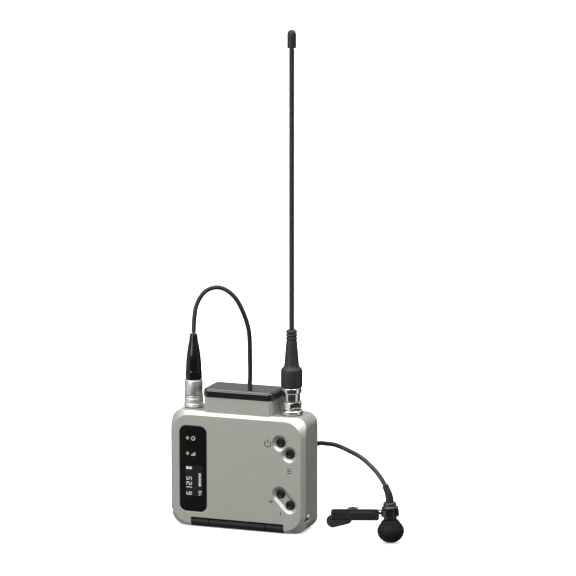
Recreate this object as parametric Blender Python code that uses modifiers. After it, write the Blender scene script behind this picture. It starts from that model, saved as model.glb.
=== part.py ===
"""Wireless bodypack transmitter with a lavalier microphone, as separate closed solids.

Sizes and places are in millimetres and become metres when a mesh is made. X runs across the
face, the face looks along -Y, and Z is up. The origin is the middle of the housing's base.
"""

import math

import bmesh
import bpy
from mathutils import Matrix, Vector

MM = 0.001
GAP = 0.3  # clearance between neighbouring pieces
SNUG = 0.15  # clearance round trim that sits flush in the face

# housing
WIDTH, DEPTH, HEIGHT = 64.4, 18.8, 53.2
HALF_W, FRONT, REAR = WIDTH / 2, -DEPTH / 2, DEPTH / 2
CORNER_R = 5.3  # outline corners, seen from the front
FACE_CORNER_R = 6.3  # corners of the flat face inside the chamfer
FRONT_CHAMFER = 1.7
REAR_ROUND = 1.2
WALL, FACE_WALL = 1.5, 2.0
SEAM_Y = 5.0  # where the rear cover meets the front case
SCREW_PLACES = ((-27.2, 6.6), (27.2, 6.6), (-13.0, 48.6), (12.2, 48.6))

# raised block on the top, and its glossy cap
BLOCK_HALF_W, BLOCK_HALF_D, BLOCK_TOP = 16.3, 8.1, 59.9
CAP_TOP, CAP_WALL, CAP_LIP = 63.9, 1.1, 0.45

# face
WINDOW = (-27.4, -14.5, 7.0, 46.5)  # x0, x1, z0, z1
WINDOW_R, WINDOW_DEPTH, WINDOW_THICK = 3.3, 1.0, 0.7
DISPLAY = (-24.6, -16.6, 14.2, 28.2)
LAMPS = {"power_lamp": (-23.6, 40.7), "audio_lamp": (-23.6, 33.6)}
LAMP_R = 0.8
BUTTONS = {
    "power_button": (20.6, 41.6),
    "set_button": (25.0, 36.7),
    "plus_button": (20.6, 18.2),
    "minus_button": (25.1, 13.3),
}
BUTTON_R, BUTTON_FLANGE_R, BUTTON_TOP_Y, BUTTON_BACK_Y = 1.95, 2.6, -9.0, -6.5
DISH_R, DISH_FLOOR_R, DISH_DEPTH = 3.65, 2.4, 1.1
KEY_FRONT_Y = -6.0  # leaves a button its travel of 0.4 mm

# inside
BOARD_Y = (-4.8, -4.0)
BOARD = (-28.8, 28.8, 10.0, 43.5)
BATTERY_SIZE = (42.7, 9.2, 29.9)
BATTERY_Y, BATTERY_Z = 1.95, 3.5  # middle of its thickness, and its lower end
TRAY_WALL, TRAY_TOP = 0.7, 35.9

# battery door and its hinge
HINGE_Y, HINGE_Z, BARREL_R, PIN_R = -7.3, 2.1, 2.1, 0.6
STRIP_HALF, MIDDLE_HALF = 22.0, 13.6  # half the hinge strip, and half its middle knuckle
DOOR_REAR_Y, DOOR_THICK = 7.5, 2.0
LATCH_HALF, LATCH_Y = 2.8, (4.0, 7.3)

# connectors on the top
PLUG_X, ANTENNA_X = -24.1, 22.8
ANTENNA_TIP = 225.7

# free cord: radius, and the places that its route passes
CORD_R = 1.05
COIL_AT, COIL_MEAN_R, COIL_HALF_W, COIL_H = (-14.0, 28.4), 12.0, 4.3, 6.2
LEAD_IN = (
    (-24.1, 0.0, 87.1), (-24.2, 1.2, 93.3), (-23.9, 3.0, 98.9), (-21.9, 5.0, 103.7),
    (-19.2, 6.8, 106.2), (-15.3, 8.2, 107.0), (-11.3, 9.4, 105.5), (-7.6, 10.4, 101.9),
    (-4.9, 11.3, 96.6), (-2.9, 11.9, 91.0), (-1.9, 12.3, 85.0), (-1.8, 12.7, 76.0),
    (-2.0, 12.9, 63.0), (-4.6, 13.0, 50.0), (-10.0, 13.0, 37.0), (-18.0, 12.9, 25.0),
    (-24.8, 12.8, 15.5), (-28.2, 12.8, 8.2), (-27.4, 12.9, 3.3),
    (-24.6, 13.1, 1.4),
)
LEAD_OUT = (
    (-13.0, 16.4, 7.6), (-5.0, 15.8, 9.2), (3.0, 14.9, 15.2), (11.0, 13.9, 24.2),
    (20.0, 13.2, 32.6), (30.3, 12.6, 37.5), (36.1, 9.7, 38.6), (41.9, 6.4, 39.0),
    (48.2, 2.9, 38.1), (55.5, -1.0, 36.4), (61.3, -3.8, 33.5), (66.2, -5.6, 29.5),
    (69.43, -6.64, 25.34),
)
CORD_STEP = 5.5

# microphone and clip
MIC_X, MIC_Y, BALL_R = 71.9, -6.7, 6.0
BALL_LOW = 5.4  # the ball's lower half is a little flat
MIC_LEAN = 2.4  # degrees that the microphone leans towards the housing
CLIP_ARM = (45.9, 66.4, 10.6, 15.8)  # x0, x1, z0, z1
CLIP_Y, SHEET = -7.5, 0.7  # front of the stamped arm, and the sheet's thickness
CLIP_PIVOT = (54.8, -4.6)
CLIP_TURN = 9.0  # degrees that the clip is swung round the microphone
NECKS = ((13.4, 14.5), (15.1, 15.6))  # heights of the two strips that join the arm to its ring

PARTS = "wireless_bodypack_transmitter"
CUTTERS = "cutters"


# ---------------------------------------------------------------- scene and materials


def clear_scene():
    for item in list(bpy.data.objects):
        bpy.data.objects.remove(item, do_unlink=True)
    for name in (PARTS, CUTTERS):
        group = bpy.data.collections.new(name)
        bpy.context.scene.collection.children.link(group)


def material(name, colour, roughness, metallic=0.0):
    known = bpy.data.materials.get(name)
    if known:
        return known
    made = bpy.data.materials.new(name)
    made.use_nodes = True
    shader = made.node_tree.nodes["Principled BSDF"]
    shader.inputs["Base Color"].default_value = (*colour, 1.0)
    shader.inputs["Roughness"].default_value = roughness
    shader.inputs["Metallic"].default_value = metallic
    return made


def paint():
    return material("champagne_paint", (0.33, 0.33, 0.29), 0.42, 0.35)


def black_gloss():
    return material("black_gloss_plastic", (0.012, 0.012, 0.013), 0.12)


def black_satin():
    return material("black_satin_plastic", (0.02, 0.02, 0.021), 0.45)


def black_rubber():
    return material("black_rubber", (0.018, 0.018, 0.018), 0.6)


def chrome():
    return material("plated_metal", (0.62, 0.62, 0.6), 0.2, 1.0)


def board_green():
    return material("board_laminate", (0.02, 0.12, 0.05), 0.5)


def steel():
    return material("dark_steel", (0.09, 0.09, 0.095), 0.35, 0.9)


def gold():
    return material("gold_contact", (0.6, 0.42, 0.12), 0.25, 1.0)


def lamp_green():
    return material("lamp_green", (0.2, 0.5, 0.05), 0.3)


def battery_grey():
    return material("battery_case", (0.05, 0.05, 0.055), 0.5)


def foam():
    return material("windscreen_mesh", (0.015, 0.015, 0.015), 0.8)


# ---------------------------------------------------------------- mesh helpers


def place(mesh_or_curve, name, finish, origin=(0, 0, 0), cutter=False):
    """Make an object of a datablock whose points are already relative to its origin, in metres."""
    made = bpy.data.objects.new(name, mesh_or_curve)
    made.location = Vector(origin) * MM
    bpy.data.collections[CUTTERS if cutter else PARTS].objects.link(made)
    if finish is not None:
        mesh_or_curve.materials.append(finish)
    if cutter:
        made.hide_render = True
        made.display_type = "WIRE"
    return made


def from_bmesh(shape, name, finish, origin=(0, 0, 0), cutter=False):
    """Turn a bmesh in millimetres into an object whose origin is at the given place."""
    bmesh.ops.translate(shape, verts=shape.verts, vec=-Vector(origin))
    bmesh.ops.scale(shape, verts=shape.verts, vec=(MM, MM, MM))
    bmesh.ops.recalc_face_normals(shape, faces=shape.faces)
    mesh = bpy.data.meshes.new(name)
    shape.to_mesh(mesh)
    shape.free()
    mesh.shade_smooth()
    mesh.set_sharp_from_angle(angle=math.radians(30))
    return place(mesh, name, finish, origin, cutter)


def block(low, high, round_axis=None, radius=0.0, steps=4):
    """A box between two corners, with its four edges along round_axis rounded."""
    shape = bmesh.new()
    bmesh.ops.create_cube(shape, size=1.0)
    low, high = Vector(low), Vector(high)
    bmesh.ops.scale(shape, verts=shape.verts, vec=high - low)
    bmesh.ops.translate(shape, verts=shape.verts, vec=(low + high) / 2)
    if round_axis is not None:
        picked = [e for e in shape.edges if runs_along(e, round_axis)]
        bmesh.ops.bevel(shape, geom=picked, offset=radius, segments=steps, profile=0.5,
                        affect="EDGES", clamp_overlap=False)
    return shape


def runs_along(edge, axis):
    step = edge.verts[1].co - edge.verts[0].co
    return abs(step[axis]) > 0.99 * step.length


def ease_face(shape, axis, at, width, steps=1):
    """Chamfer or round the outline of the flat face that lies at one place along an axis."""
    picked = [e for e in shape.edges if all(abs(v.co[axis] - at) < 1e-4 for v in e.verts)
              and len([f for f in e.link_faces if abs(f.normal[axis]) < 0.5]) == 1]
    bmesh.ops.bevel(shape, geom=picked, offset=width, segments=steps, profile=0.5,
                    affect="EDGES", clamp_overlap=False)


def turned(name, profile, finish, origin=(0, 0, 0), along="Z", sides=24, cutter=False):
    """Turn a profile of (radius, height) pairs, given down the outer side, about an axis.

    A profile that starts and ends on the axis is a solid; any other is closed into a ring.
    Along Y the heights run towards +Y.
    """
    mesh = bpy.data.meshes.new(name)
    points = [(radius * MM, 0.0, height * MM) for radius, height in profile]
    links = [(i, i + 1) for i in range(len(points) - 1)]
    if profile[0][0] > 0 or profile[-1][0] > 0:
        links.append((len(points) - 1, 0))
    mesh.from_pydata(points, links, [])
    made = place(mesh, name, finish, origin, cutter)
    spin = made.modifiers.new("turn", "SCREW")
    spin.axis = "Z"
    spin.steps = spin.render_steps = sides
    spin.use_merge_vertices = True
    spin.merge_threshold = 1e-6
    spin.use_normal_calculate = False
    if along == "Y":
        made.rotation_euler = (math.radians(-90), 0, 0)
    elif along == "X":
        made.rotation_euler = (0, math.radians(90), 0)
    return made


def rod(name, radius, low, high, origin, along, finish=None, sides=16, cutter=True):
    """A plain round bar between two heights on its axis."""
    profile = ((0, high), (radius, high), (radius, low), (0, low))
    return turned(name, profile, finish, origin, along, sides, cutter)


def box_cutter(name, low, high, round_axis=None, radius=0.0, steps=4):
    return from_bmesh(block(low, high, round_axis, radius, steps), name, None, cutter=True)


def joined(name, tools):
    """One cutter made of several that don't touch, so that they cut in a single step."""
    graph = bpy.context.evaluated_depsgraph_get()
    graph.update()
    shape = bmesh.new()
    for tool in tools:
        mesh = bpy.data.meshes.new_from_object(tool.evaluated_get(graph))
        mesh.transform(tool.matrix_world)
        shape.from_mesh(mesh)
        bpy.data.objects.remove(tool)
    mesh = bpy.data.meshes.new(name)
    shape.to_mesh(mesh)
    shape.free()
    return place(mesh, name, None, cutter=True)


def combine(target, tools, operation="DIFFERENCE"):
    for tool in tools:
        step = target.modifiers.new(operation.lower(), "BOOLEAN")
        step.operation = operation
        step.solver = "EXACT"
        step.object = tool
    return target


def hull_shape(circles, sides=20):
    """The convex hull of circles (x, y, z, radius) that face along Y."""
    shape = bmesh.new()
    for x, y, z, radius in circles:
        for i in range(sides):
            turn = math.tau * i / sides
            shape.verts.new((x + radius * math.cos(turn), y, z + radius * math.sin(turn)))
    found = bmesh.ops.convex_hull(shape, input=shape.verts)
    loose = [v for v in found["geom_interior"] if isinstance(v, bmesh.types.BMVert)]
    bmesh.ops.delete(shape, geom=loose, context="VERTS")
    return shape


def hull_of_circles(name, circles, sides=20):
    return from_bmesh(hull_shape(circles, sides), name, None, cutter=True)


def smooth_route(points, step):
    """Points a step apart along a smooth curve through the route's own points."""
    knots = [Vector(p) for p in points]
    ends = [2 * knots[0] - knots[1]] + knots + [2 * knots[-1] - knots[-2]]
    fine = []
    for i in range(len(knots) - 1):
        a, b, c, d = ends[i:i + 4]
        for k in range(20):
            t = k / 20
            fine.append(0.5 * (2 * b + (c - a) * t + (2 * a - 5 * b + 4 * c - d) * t * t
                               + (3 * b - a - 3 * c + d) * t ** 3))
    fine.append(knots[-1])
    total = sum((q - p).length for p, q in zip(fine, fine[1:]))
    count = round(total / step)
    out, walked, want = [fine[0]], 0.0, 1
    for p, q in zip(fine, fine[1:]):
        length = (q - p).length
        while want < count and walked + length >= want * total / count:
            out.append(p.lerp(q, (want * total / count - walked) / length))
            want += 1
        walked += length
    return out + [fine[-1]]


def tube(name, points, radius, finish, radii=None, resolution=2):
    """A round tube with filled caps along points in millimetres."""
    curve = bpy.data.curves.new(name, "CURVE")
    curve.dimensions = "3D"
    curve.bevel_depth = radius * MM
    curve.bevel_resolution = resolution
    curve.use_fill_caps = True
    line = curve.splines.new("POLY")
    line.points.add(len(points) - 1)
    for i, point in enumerate(points):
        line.points[i].co = (*(Vector(point) * MM), 1.0)
        line.points[i].radius = radii[i] if radii else 1.0
    return place(curve, name, finish)


# ---------------------------------------------------------------- housing


def corner_circles(y, inset, radius):
    """Four circles whose hull is the housing's outline at one depth."""
    x, heights = HALF_W - inset - radius, (inset + radius, HEIGHT - inset - radius)
    return [(side * x, y, z, radius) for side in (-1, 1) for z in heights]


def outer_form(y0, y1, front, rear):
    """The housing's form between two depths, with its front chamfer or its rear rounding."""
    if front:
        circles = corner_circles(y0, FRONT_CHAMFER, FACE_CORNER_R)
        circles += corner_circles(y0 + FRONT_CHAMFER, 0, CORNER_R)
    else:
        circles = corner_circles(y0, 0, CORNER_R)
    if rear:
        for turn in (0, 45, 90):
            inset = REAR_ROUND * (1 - math.cos(math.radians(turn)))
            back = REAR_ROUND * (1 - math.sin(math.radians(turn)))
            circles += corner_circles(y1 - back, inset, CORNER_R - inset)
    else:
        circles += corner_circles(y1, 0, CORNER_R)
    return hull_shape(circles, 32)


def inner_form(name, y0, y1):
    low = (-HALF_W + WALL, y0, WALL)
    high = (HALF_W - WALL, y1, HEIGHT - WALL)
    return box_cutter(name, low, high, 1, CORNER_R - WALL, 6)


def front_case():
    made = from_bmesh(outer_form(FRONT, SEAM_Y - SNUG, True, False), "front_case", paint())
    riser = from_bmesh(block((-BLOCK_HALF_W, -BLOCK_HALF_D, 49.0),
                             (BLOCK_HALF_W, BLOCK_HALF_D, BLOCK_TOP), 2, 1.7, 3),
                       "block_form", None, cutter=True)
    combine(made, [riser], "UNION")
    cuts = [
        box_cutter("cover_space", (-40, SEAM_Y - SNUG, -5), (40, 20, HEIGHT + GAP)),
        inner_form("case_hollow", FRONT + FACE_WALL, 20),
        box_cutter("block_hollow", (-BLOCK_HALF_W + WALL, -BLOCK_HALF_D + WALL, 45),
                   (BLOCK_HALF_W - WALL, BLOCK_HALF_D - WALL, BLOCK_TOP + 5)),
    ]
    cuts += face_cuts() + bottom_cuts() + connector_holes() + side_notches()
    combine(made, cuts)
    combine(made, [rod(f"boss_{i}", 2.2, FRONT + 1.0, SEAM_Y - GAP, (x, 0, z), "Y")
                   for i, (x, z) in enumerate(SCREW_PLACES)], "UNION")
    threads = [rod(f"thread_{i}", 1.1, -4.5, 20, (x, 0, z), "Y") for i, (x, z) in enumerate(SCREW_PLACES)]
    return combine(made, [joined("screw_threads", threads)])


def face_cuts():
    x0, x1, z0, z1 = WINDOW
    floor = FRONT + WINDOW_DEPTH
    cuts = [box_cutter("window_recess", (x0 - SNUG, FRONT - 5, z0 - SNUG),
                       (x1 + SNUG, floor, z1 + SNUG), 1, WINDOW_R + SNUG, 5)]
    x0, x1, z0, z1 = DISPLAY
    cuts.append(box_cutter("display_hole", (x0, floor - 1, z0), (x1, FRONT + 4, z1)))
    for name, (x, z) in LAMPS.items():
        cuts.append(rod(name + "_hole", LAMP_R + GAP, floor - 1, FRONT + 4, (x, 0, z), "Y", sides=12))
    for name, (x, z) in BUTTONS.items():
        cuts.append(rod(name + "_hole", BUTTON_R + 0.25, FRONT - 1, FRONT + 4, (x, 0, z), "Y", sides=20))
    for names in (("power_button",), ("set_button",), ("plus_button", "minus_button")):
        circles = []
        for x, z in (BUTTONS[name] for name in names):
            grow = DISH_R + (DISH_R - DISH_FLOOR_R) / DISH_DEPTH
            circles += [(x, FRONT - 1.0, z, grow), (x, FRONT + DISH_DEPTH, z, DISH_FLOOR_R)]
        cuts.append(hull_of_circles(names[0] + "_dish", circles))
    return cuts


def bottom_cuts():
    """Room for the hinge strip and the battery door."""
    edge = STRIP_HALF + SNUG
    return [
        box_cutter("strip_space", (-edge, FRONT - 5, -5), (edge, HINGE_Y + 2.8, 2 * BARREL_R + GAP)),
        box_cutter("door_space", (-edge, HINGE_Y, -5), (edge, 20, DOOR_THICK + GAP)),
    ]


def connector_holes():
    return [
        rod("socket_hole", 3.6, 40, 60, (PLUG_X, 0, 0), "Z", sides=24),
        rod("jack_hole", 3.3, 40, 60, (ANTENNA_X, 0, 0), "Z", sides=24),
    ]


def side_notches():
    """A scoop and a small hole low on each side, where a wire belt clip springs in."""
    cuts = []
    for side in (-1, 1):
        outside, floor, shallow = side * (HALF_W + 2), side * (HALF_W - 1.05), side * (HALF_W - 0.1)
        corners = ((outside, -10.6, 6.2), (outside, -0.5, 11.4), (outside, 0.2, 6.2),
                   (floor, -6.4, 6.2), (floor, -0.2, 6.2), (shallow, -0.7, 10.2))
        cuts.append(hull_of_circles(f"clip_notch_{side}", [(*corner, 0.25) for corner in corners], 8))
        cuts.append(rod(f"clip_hole_{side}", 0.9, -4, 4, (side * HALF_W, -1.8, 7.4), "X", sides=12))
    return cuts


def rear_cover():
    made = from_bmesh(outer_form(SEAM_Y, REAR, False, True), "rear_cover", paint())
    edge = STRIP_HALF + SNUG
    cuts = [
        inner_form("cover_hollow", SEAM_Y - 5, REAR - WALL),
        box_cutter("cover_door_space", (-edge, SEAM_Y - 5, -5), (edge, DOOR_REAR_Y + GAP, DOOR_THICK + GAP)),
        box_cutter("latch_pocket", (-LATCH_HALF - GAP, 7.0, -5), (LATCH_HALF + GAP, 8.8, 1.6)),
    ]
    step = ((0, 20), (1.85, 20), (1.85, REAR - 0.9), (1.1, REAR - 0.9), (1.1, 0), (0, 0))
    ways = [turned(f"screw_way_{i}", step, None, (x, 0, z), "Y", 16, True)
            for i, (x, z) in enumerate(SCREW_PLACES)]
    return combine(made, cuts + [joined("screw_ways", ways)])


def cover_screws():
    for i, (x, z) in enumerate(SCREW_PLACES):
        top = REAR - 0.1
        profile = ((0, top), (1.6, top), (1.6, top - 0.5), (0.8, top - 0.6), (0.8, -3.6), (0, -4.2))
        made = turned(f"cover_screw_{i + 1}", profile, steel(), (x, 0, z), "Y", 16)
        cross = [box_cutter(f"drive_{i}{k}", (x - a, top - 0.35, z - b), (x + a, top + 1, z + b))
                 for k, (a, b) in enumerate(((1.0, 0.2), (0.2, 1.0)))]
        combine(made, cross)


def link_cap():
    """The glossy cap over the block: an open shell, with its lower rim on the block."""
    half_w, half_d = BLOCK_HALF_W + CAP_LIP, BLOCK_HALF_D + CAP_LIP
    shape = block((-half_w, -half_d, BLOCK_TOP + SNUG), (half_w, half_d, CAP_TOP), 2, 2.4, 4)
    ease_face(shape, 2, CAP_TOP, 1.3, 3)
    made = from_bmesh(shape, "link_cap", black_gloss())
    hollow = box_cutter("cap_hollow", (-half_w + CAP_WALL, -half_d + CAP_WALL, 50),
                        (half_w - CAP_WALL, half_d - CAP_WALL, CAP_TOP - CAP_WALL), 2, 1.2, 2)
    return combine(made, [hollow])


def link_board():
    shape = block((-13.6, -5.8, 58.0), (13.6, 5.8, 58.8))
    made = from_bmesh(shape, "link_board", board_green())
    chip = from_bmesh(block((-4.5, -2.6, 58.5), (4.5, 2.6, 60.6), 2, 0.5, 2), "link_chip", None, cutter=True)
    return combine(made, [chip], "UNION")


# ---------------------------------------------------------------- face pieces


def display_window():
    x0, x1, z0, z1 = WINDOW
    y = FRONT + 0.05
    shape = block((x0, y, z0), (x1, y + WINDOW_THICK, z1), 1, WINDOW_R, 5)
    return from_bmesh(shape, "display_window", black_gloss())


def display_module():
    x0, x1, z0, z1 = DISPLAY
    back = FRONT + FACE_WALL + GAP
    made = from_bmesh(block((x0 - 1, back, z0 - 1.2), (x1 + 1, back + 1.5, z1 + 1.2)),
                      "display_module", black_gloss())
    glass = from_bmesh(block((x0 + GAP, back - 0.9, z0 + GAP), (x1 - GAP, back + 0.5, z1 - GAP)),
                       "display_glass", None, cutter=True)
    return combine(made, [glass], "UNION")


def status_lamps():
    for name, (x, z) in LAMPS.items():
        profile = ((0, -5.0), (1.3, -5.0), (1.3, -5.8), (LAMP_R, -5.9), (LAMP_R, -7.8),
                   (0.5, -8.1), (0, -8.2))
        turned(name, profile, lamp_green(), (x, 0, z), "Y", 12)


def face_buttons():
    for name, (x, z) in BUTTONS.items():
        flange = FRONT + FACE_WALL + GAP
        profile = ((0, BUTTON_BACK_Y), (BUTTON_FLANGE_R, BUTTON_BACK_Y), (BUTTON_FLANGE_R, flange),
                   (BUTTON_R, flange), (BUTTON_R, BUTTON_TOP_Y + 0.35), (BUTTON_R - 0.25, BUTTON_TOP_Y + 0.08),
                   (0, BUTTON_TOP_Y))
        turned(name, profile, black_satin(), (x, 0, z), "Y", 20)


def key_switches():
    for name, (x, z) in BUTTONS.items():
        key = name.replace("_button", "_key")
        made = from_bmesh(block((x - 1.5, -5.6, z - 1.5), (x + 1.5, BOARD_Y[0] - 0.1, z + 1.5)),
                          key, steel())
        combine(made, [rod(key + "_top", 0.8, KEY_FRONT_Y, -5.3, (x, 0, z), "Y", sides=12)], "UNION")


# ---------------------------------------------------------------- inside


def main_board():
    x0, x1, z0, z1 = BOARD
    made = from_bmesh(block((x0, BOARD_Y[0], z0), (x1, BOARD_Y[1], z1), 1, 1.5, 3), "main_board", board_green())
    chips = [((-8, 24), (4, 33)), ((6, 26), (15, 32)), ((-8, 12), (2, 19))]
    parts = [from_bmesh(block((a, -6.0, b), (c, -4.5, d)), f"chip_{i}", None, cutter=True)
             for i, ((a, b), (c, d)) in enumerate(chips)]
    return combine(made, parts, "UNION")


def radio_shield():
    """A thin can over the radio circuit, open towards the board."""
    made = from_bmesh(block((-12, BOARD_Y[1] + 0.1, 36.6), (14, -1.6, 43.0)), "radio_shield", chrome())
    return combine(made, [box_cutter("can_hollow", (-11.6, -6, 37.0), (13.6, -2.0, 42.6))])


def battery_tray():
    sx, sy = BATTERY_SIZE[0] / 2 + GAP, BATTERY_SIZE[1] / 2 + GAP
    low = (-sx - TRAY_WALL, BATTERY_Y - sy - TRAY_WALL, BATTERY_Z - 0.2)
    high = (sx + TRAY_WALL, BATTERY_Y + sy + TRAY_WALL, TRAY_TOP)
    made = from_bmesh(block(low, high), "battery_tray", black_satin())
    hollow = box_cutter("tray_hollow", (-sx, BATTERY_Y - sy, -5), (sx, BATTERY_Y + sy, TRAY_TOP - TRAY_WALL))
    return combine(made, [hollow])


def battery():
    sx, sy, sz = BATTERY_SIZE
    shape = block((-sx / 2, BATTERY_Y - sy / 2, BATTERY_Z), (sx / 2, BATTERY_Y + sy / 2, BATTERY_Z + sz), 2, 1.5, 3)
    return from_bmesh(shape, "battery", battery_grey())


def battery_contacts():
    low = BATTERY_Z + BATTERY_SIZE[2] + GAP
    for side, x in (("left", -13.0), ("right", 13.0)):
        shape = block((x - 1.5, 0.5, low), (x + 1.5, 3.5, TRAY_TOP - TRAY_WALL - GAP))
        from_bmesh(shape, f"battery_contact_{side}", gold())


# ---------------------------------------------------------------- battery door


def battery_door():
    origin = (0, HINGE_Y, HINGE_Z)
    edge = STRIP_HALF - GAP
    made = from_bmesh(block((-edge, HINGE_Y + BARREL_R + 0.5, 0), (edge, DOOR_REAR_Y, DOOR_THICK)),
                      "battery_door", black_satin(), origin)
    web = from_bmesh(block((-MIDDLE_HALF + GAP / 2, HINGE_Y, 0), (MIDDLE_HALF - GAP / 2, HINGE_Y + 3.4, DOOR_THICK)),
                     "door_web", None, cutter=True)
    half = MIDDLE_HALF - GAP / 2
    barrel = rod("door_barrel", BARREL_R, -half, half, origin, "X", sides=24)
    combine(made, [web, barrel], "UNION")
    combine(made, [
        rod("door_pin_way", PIN_R + GAP, -40, 40, origin, "X"),
        box_cutter("latch_way", (-LATCH_HALF - 0.25, LATCH_Y[0] - 1.2, -5), (LATCH_HALF + 0.25, 20, 1.3)),
    ])
    return made


def hinge_knuckles():
    for side, sign in (("left", -1), ("right", 1)):
        x0, x1 = sorted((sign * (MIDDLE_HALF + GAP / 2), sign * STRIP_HALF))
        made = turned(f"hinge_knuckle_{side}", ((0, x1), (BARREL_R, x1), (BARREL_R, x0), (0, x0)),
                      black_satin(), (0, HINGE_Y, HINGE_Z), "X", 24)
        foot = from_bmesh(block((x0 + 0.01, HINGE_Y, HINGE_Z + 0.3), (x1 - 0.01, HINGE_Y + 2.4, 2 * BARREL_R)),
                          f"knuckle_foot_{side}", None, cutter=True)
        combine(made, [foot], "UNION")
        combine(made, [rod(f"knuckle_bore_{side}", PIN_R + GAP, -21.0, 21.0, (0, HINGE_Y, HINGE_Z), "X")])


def hinge_pin():
    return rod("hinge_pin", PIN_R, -20.6, 20.6, (0, HINGE_Y, HINGE_Z), "X", steel(), 12, False)


def door_latch():
    y0, y1 = LATCH_Y
    made = from_bmesh(block((-LATCH_HALF, y0, 0.3), (LATCH_HALF, y1, 1.05)), "door_latch", black_satin(),
                      (0, y0, 0.3))
    ribs = [from_bmesh(block((-2.0, y, 0.05), (2.0, y + 0.4, 0.6)), f"latch_rib_{i}", None, cutter=True)
            for i, y in enumerate((4.5, 5.4, 6.3))]
    return combine(made, ribs, "UNION")


# ---------------------------------------------------------------- microphone socket and plug


def mic_socket():
    profile = ((3.35, 55.6), (3.35, 53.0), (3.3, 46.2), (2.6, 46.2), (2.6, 55.6))
    made = turned("mic_socket", profile, chrome(), (PLUG_X, 0, 0), sides=24)
    insert = ((0, 50.0), (2.3, 50.0), (2.3, 45.4), (0, 45.4))
    made_insert = turned("mic_socket_insert", insert, black_satin(), (PLUG_X, 0, 0), sides=16)
    holes = [rod(f"contact_hole_{i}", 0.4, 47.5, 55, (PLUG_X + 1.2 * math.cos(math.tau * i / 3),
                                                    1.2 * math.sin(math.tau * i / 3), 0), "Z", sides=8)
             for i in range(3)]
    combine(made_insert, holes)
    return made


def mic_plug():
    at = (PLUG_X, 0, 0)
    ring = ((3.75, 58.8), (4.28, 58.5), (4.28, 55.2), (4.5, 54.8), (4.5, 53.8), (4.2, 53.5),
            (3.75, 53.5))
    turned("plug_ring", ring, chrome(), at, sides=28)
    sleeve = ((0, 65.9), (3.8, 65.9), (4.05, 65.6), (4.05, 59.1), (3.4, 59.1), (3.4, 56.0), (2.2, 56.0),
              (2.2, 51.0), (0, 51.0))
    turned("plug_sleeve", sleeve, chrome(), at, sides=24)
    boot = ((0, 86.8), (1.5, 86.8), (1.7, 86.4), (2.1, 83.5), (2.65, 79.0), (3.1, 74.5), (3.45, 71.5),
            (3.7, 69.0), (3.7, 66.2), (0, 66.2))
    turned("plug_boot", boot, black_gloss(), at, sides=24)


# ---------------------------------------------------------------- antenna


def antenna_jack():
    """The threaded jack and its round flange on the top of the case."""
    profile = ((0, 59.0), (2.9, 59.0), (2.9, 55.3), (5.0, 55.3), (5.15, 55.0), (5.15, 53.5), (2.9, 53.5),
               (2.9, 46.5), (0, 46.5))
    return turned("antenna_jack", profile, chrome(), (ANTENNA_X, 0, 0), sides=24)


def antenna_nut():
    across = 8.5
    shape = bmesh.new()
    bmesh.ops.create_cone(shape, cap_ends=True, segments=6, radius1=across / math.sqrt(3),
                          radius2=across / math.sqrt(3), depth=3.5)
    bmesh.ops.rotate(shape, verts=shape.verts, matrix=Matrix.Rotation(math.radians(12), 3, "Z"))
    bmesh.ops.translate(shape, verts=shape.verts, vec=(ANTENNA_X, 0, 57.4))
    made = from_bmesh(shape, "antenna_nut", chrome(), (ANTENNA_X, 0, 57.4))
    ease = ((0, 59.3), (4.3, 59.3), (4.9, 58.9), (4.9, 55.9), (4.3, 55.5), (0, 55.5))
    combine(made, [turned("nut_ease", ease, None, (ANTENNA_X, 0, 0), sides=24, cutter=True)], "INTERSECT")
    return combine(made, [rod("nut_bore", 3.2, 50, 65, (ANTENNA_X, 0, 0), "Z", sides=20)])


def antenna_collar():
    profile = ((0, 65.5), (4.3, 65.5), (4.5, 65.3), (4.5, 63.2), (4.3, 63.0), (3.85, 63.0), (3.85, 59.5),
               (0, 59.5))
    return turned("antenna_collar", profile, chrome(), (ANTENNA_X, 0, 0), sides=24)


def antenna_boot():
    profile = [(0, 91.7), (2.2, 91.7)]
    for z in (90.2, 88.7, 87.2):
        profile += [(2.2, z + 0.7), (2.5, z + 0.6), (2.5, z)]
    profile += [(2.45, 86.6), (3.25, 75.6), (4.5, 74.0), (4.85, 73.2), (4.85, 66.0), (4.7, 65.8), (0, 65.8)]
    return turned("antenna_boot", profile, black_rubber(), (ANTENNA_X, 0, 0), sides=24)


def antenna_whip():
    profile = ((0, ANTENNA_TIP - 8.4), (1.14, ANTENNA_TIP - 8.4), (1.14, 92.0), (0, 92.0))
    turned("antenna_whip", profile, black_rubber(), (ANTENNA_X, 0, 0), sides=16)
    top = ANTENNA_TIP
    cap = ((0, top), (1.0, top - 0.25), (1.7, top - 1.0), (1.98, top - 2.0), (1.98, top - 8.1), (0, top - 8.1))
    turned("antenna_tip", cap, black_rubber(), (ANTENNA_X, 0, 0), sides=20)


# ---------------------------------------------------------------- free cord


def cord_tubes():
    tube("cord_lead_in", smooth_route(LEAD_IN, CORD_STEP), CORD_R, black_rubber())
    tube("cord_lead_out", smooth_route(LEAD_OUT, CORD_STEP), CORD_R, black_rubber())


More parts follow.
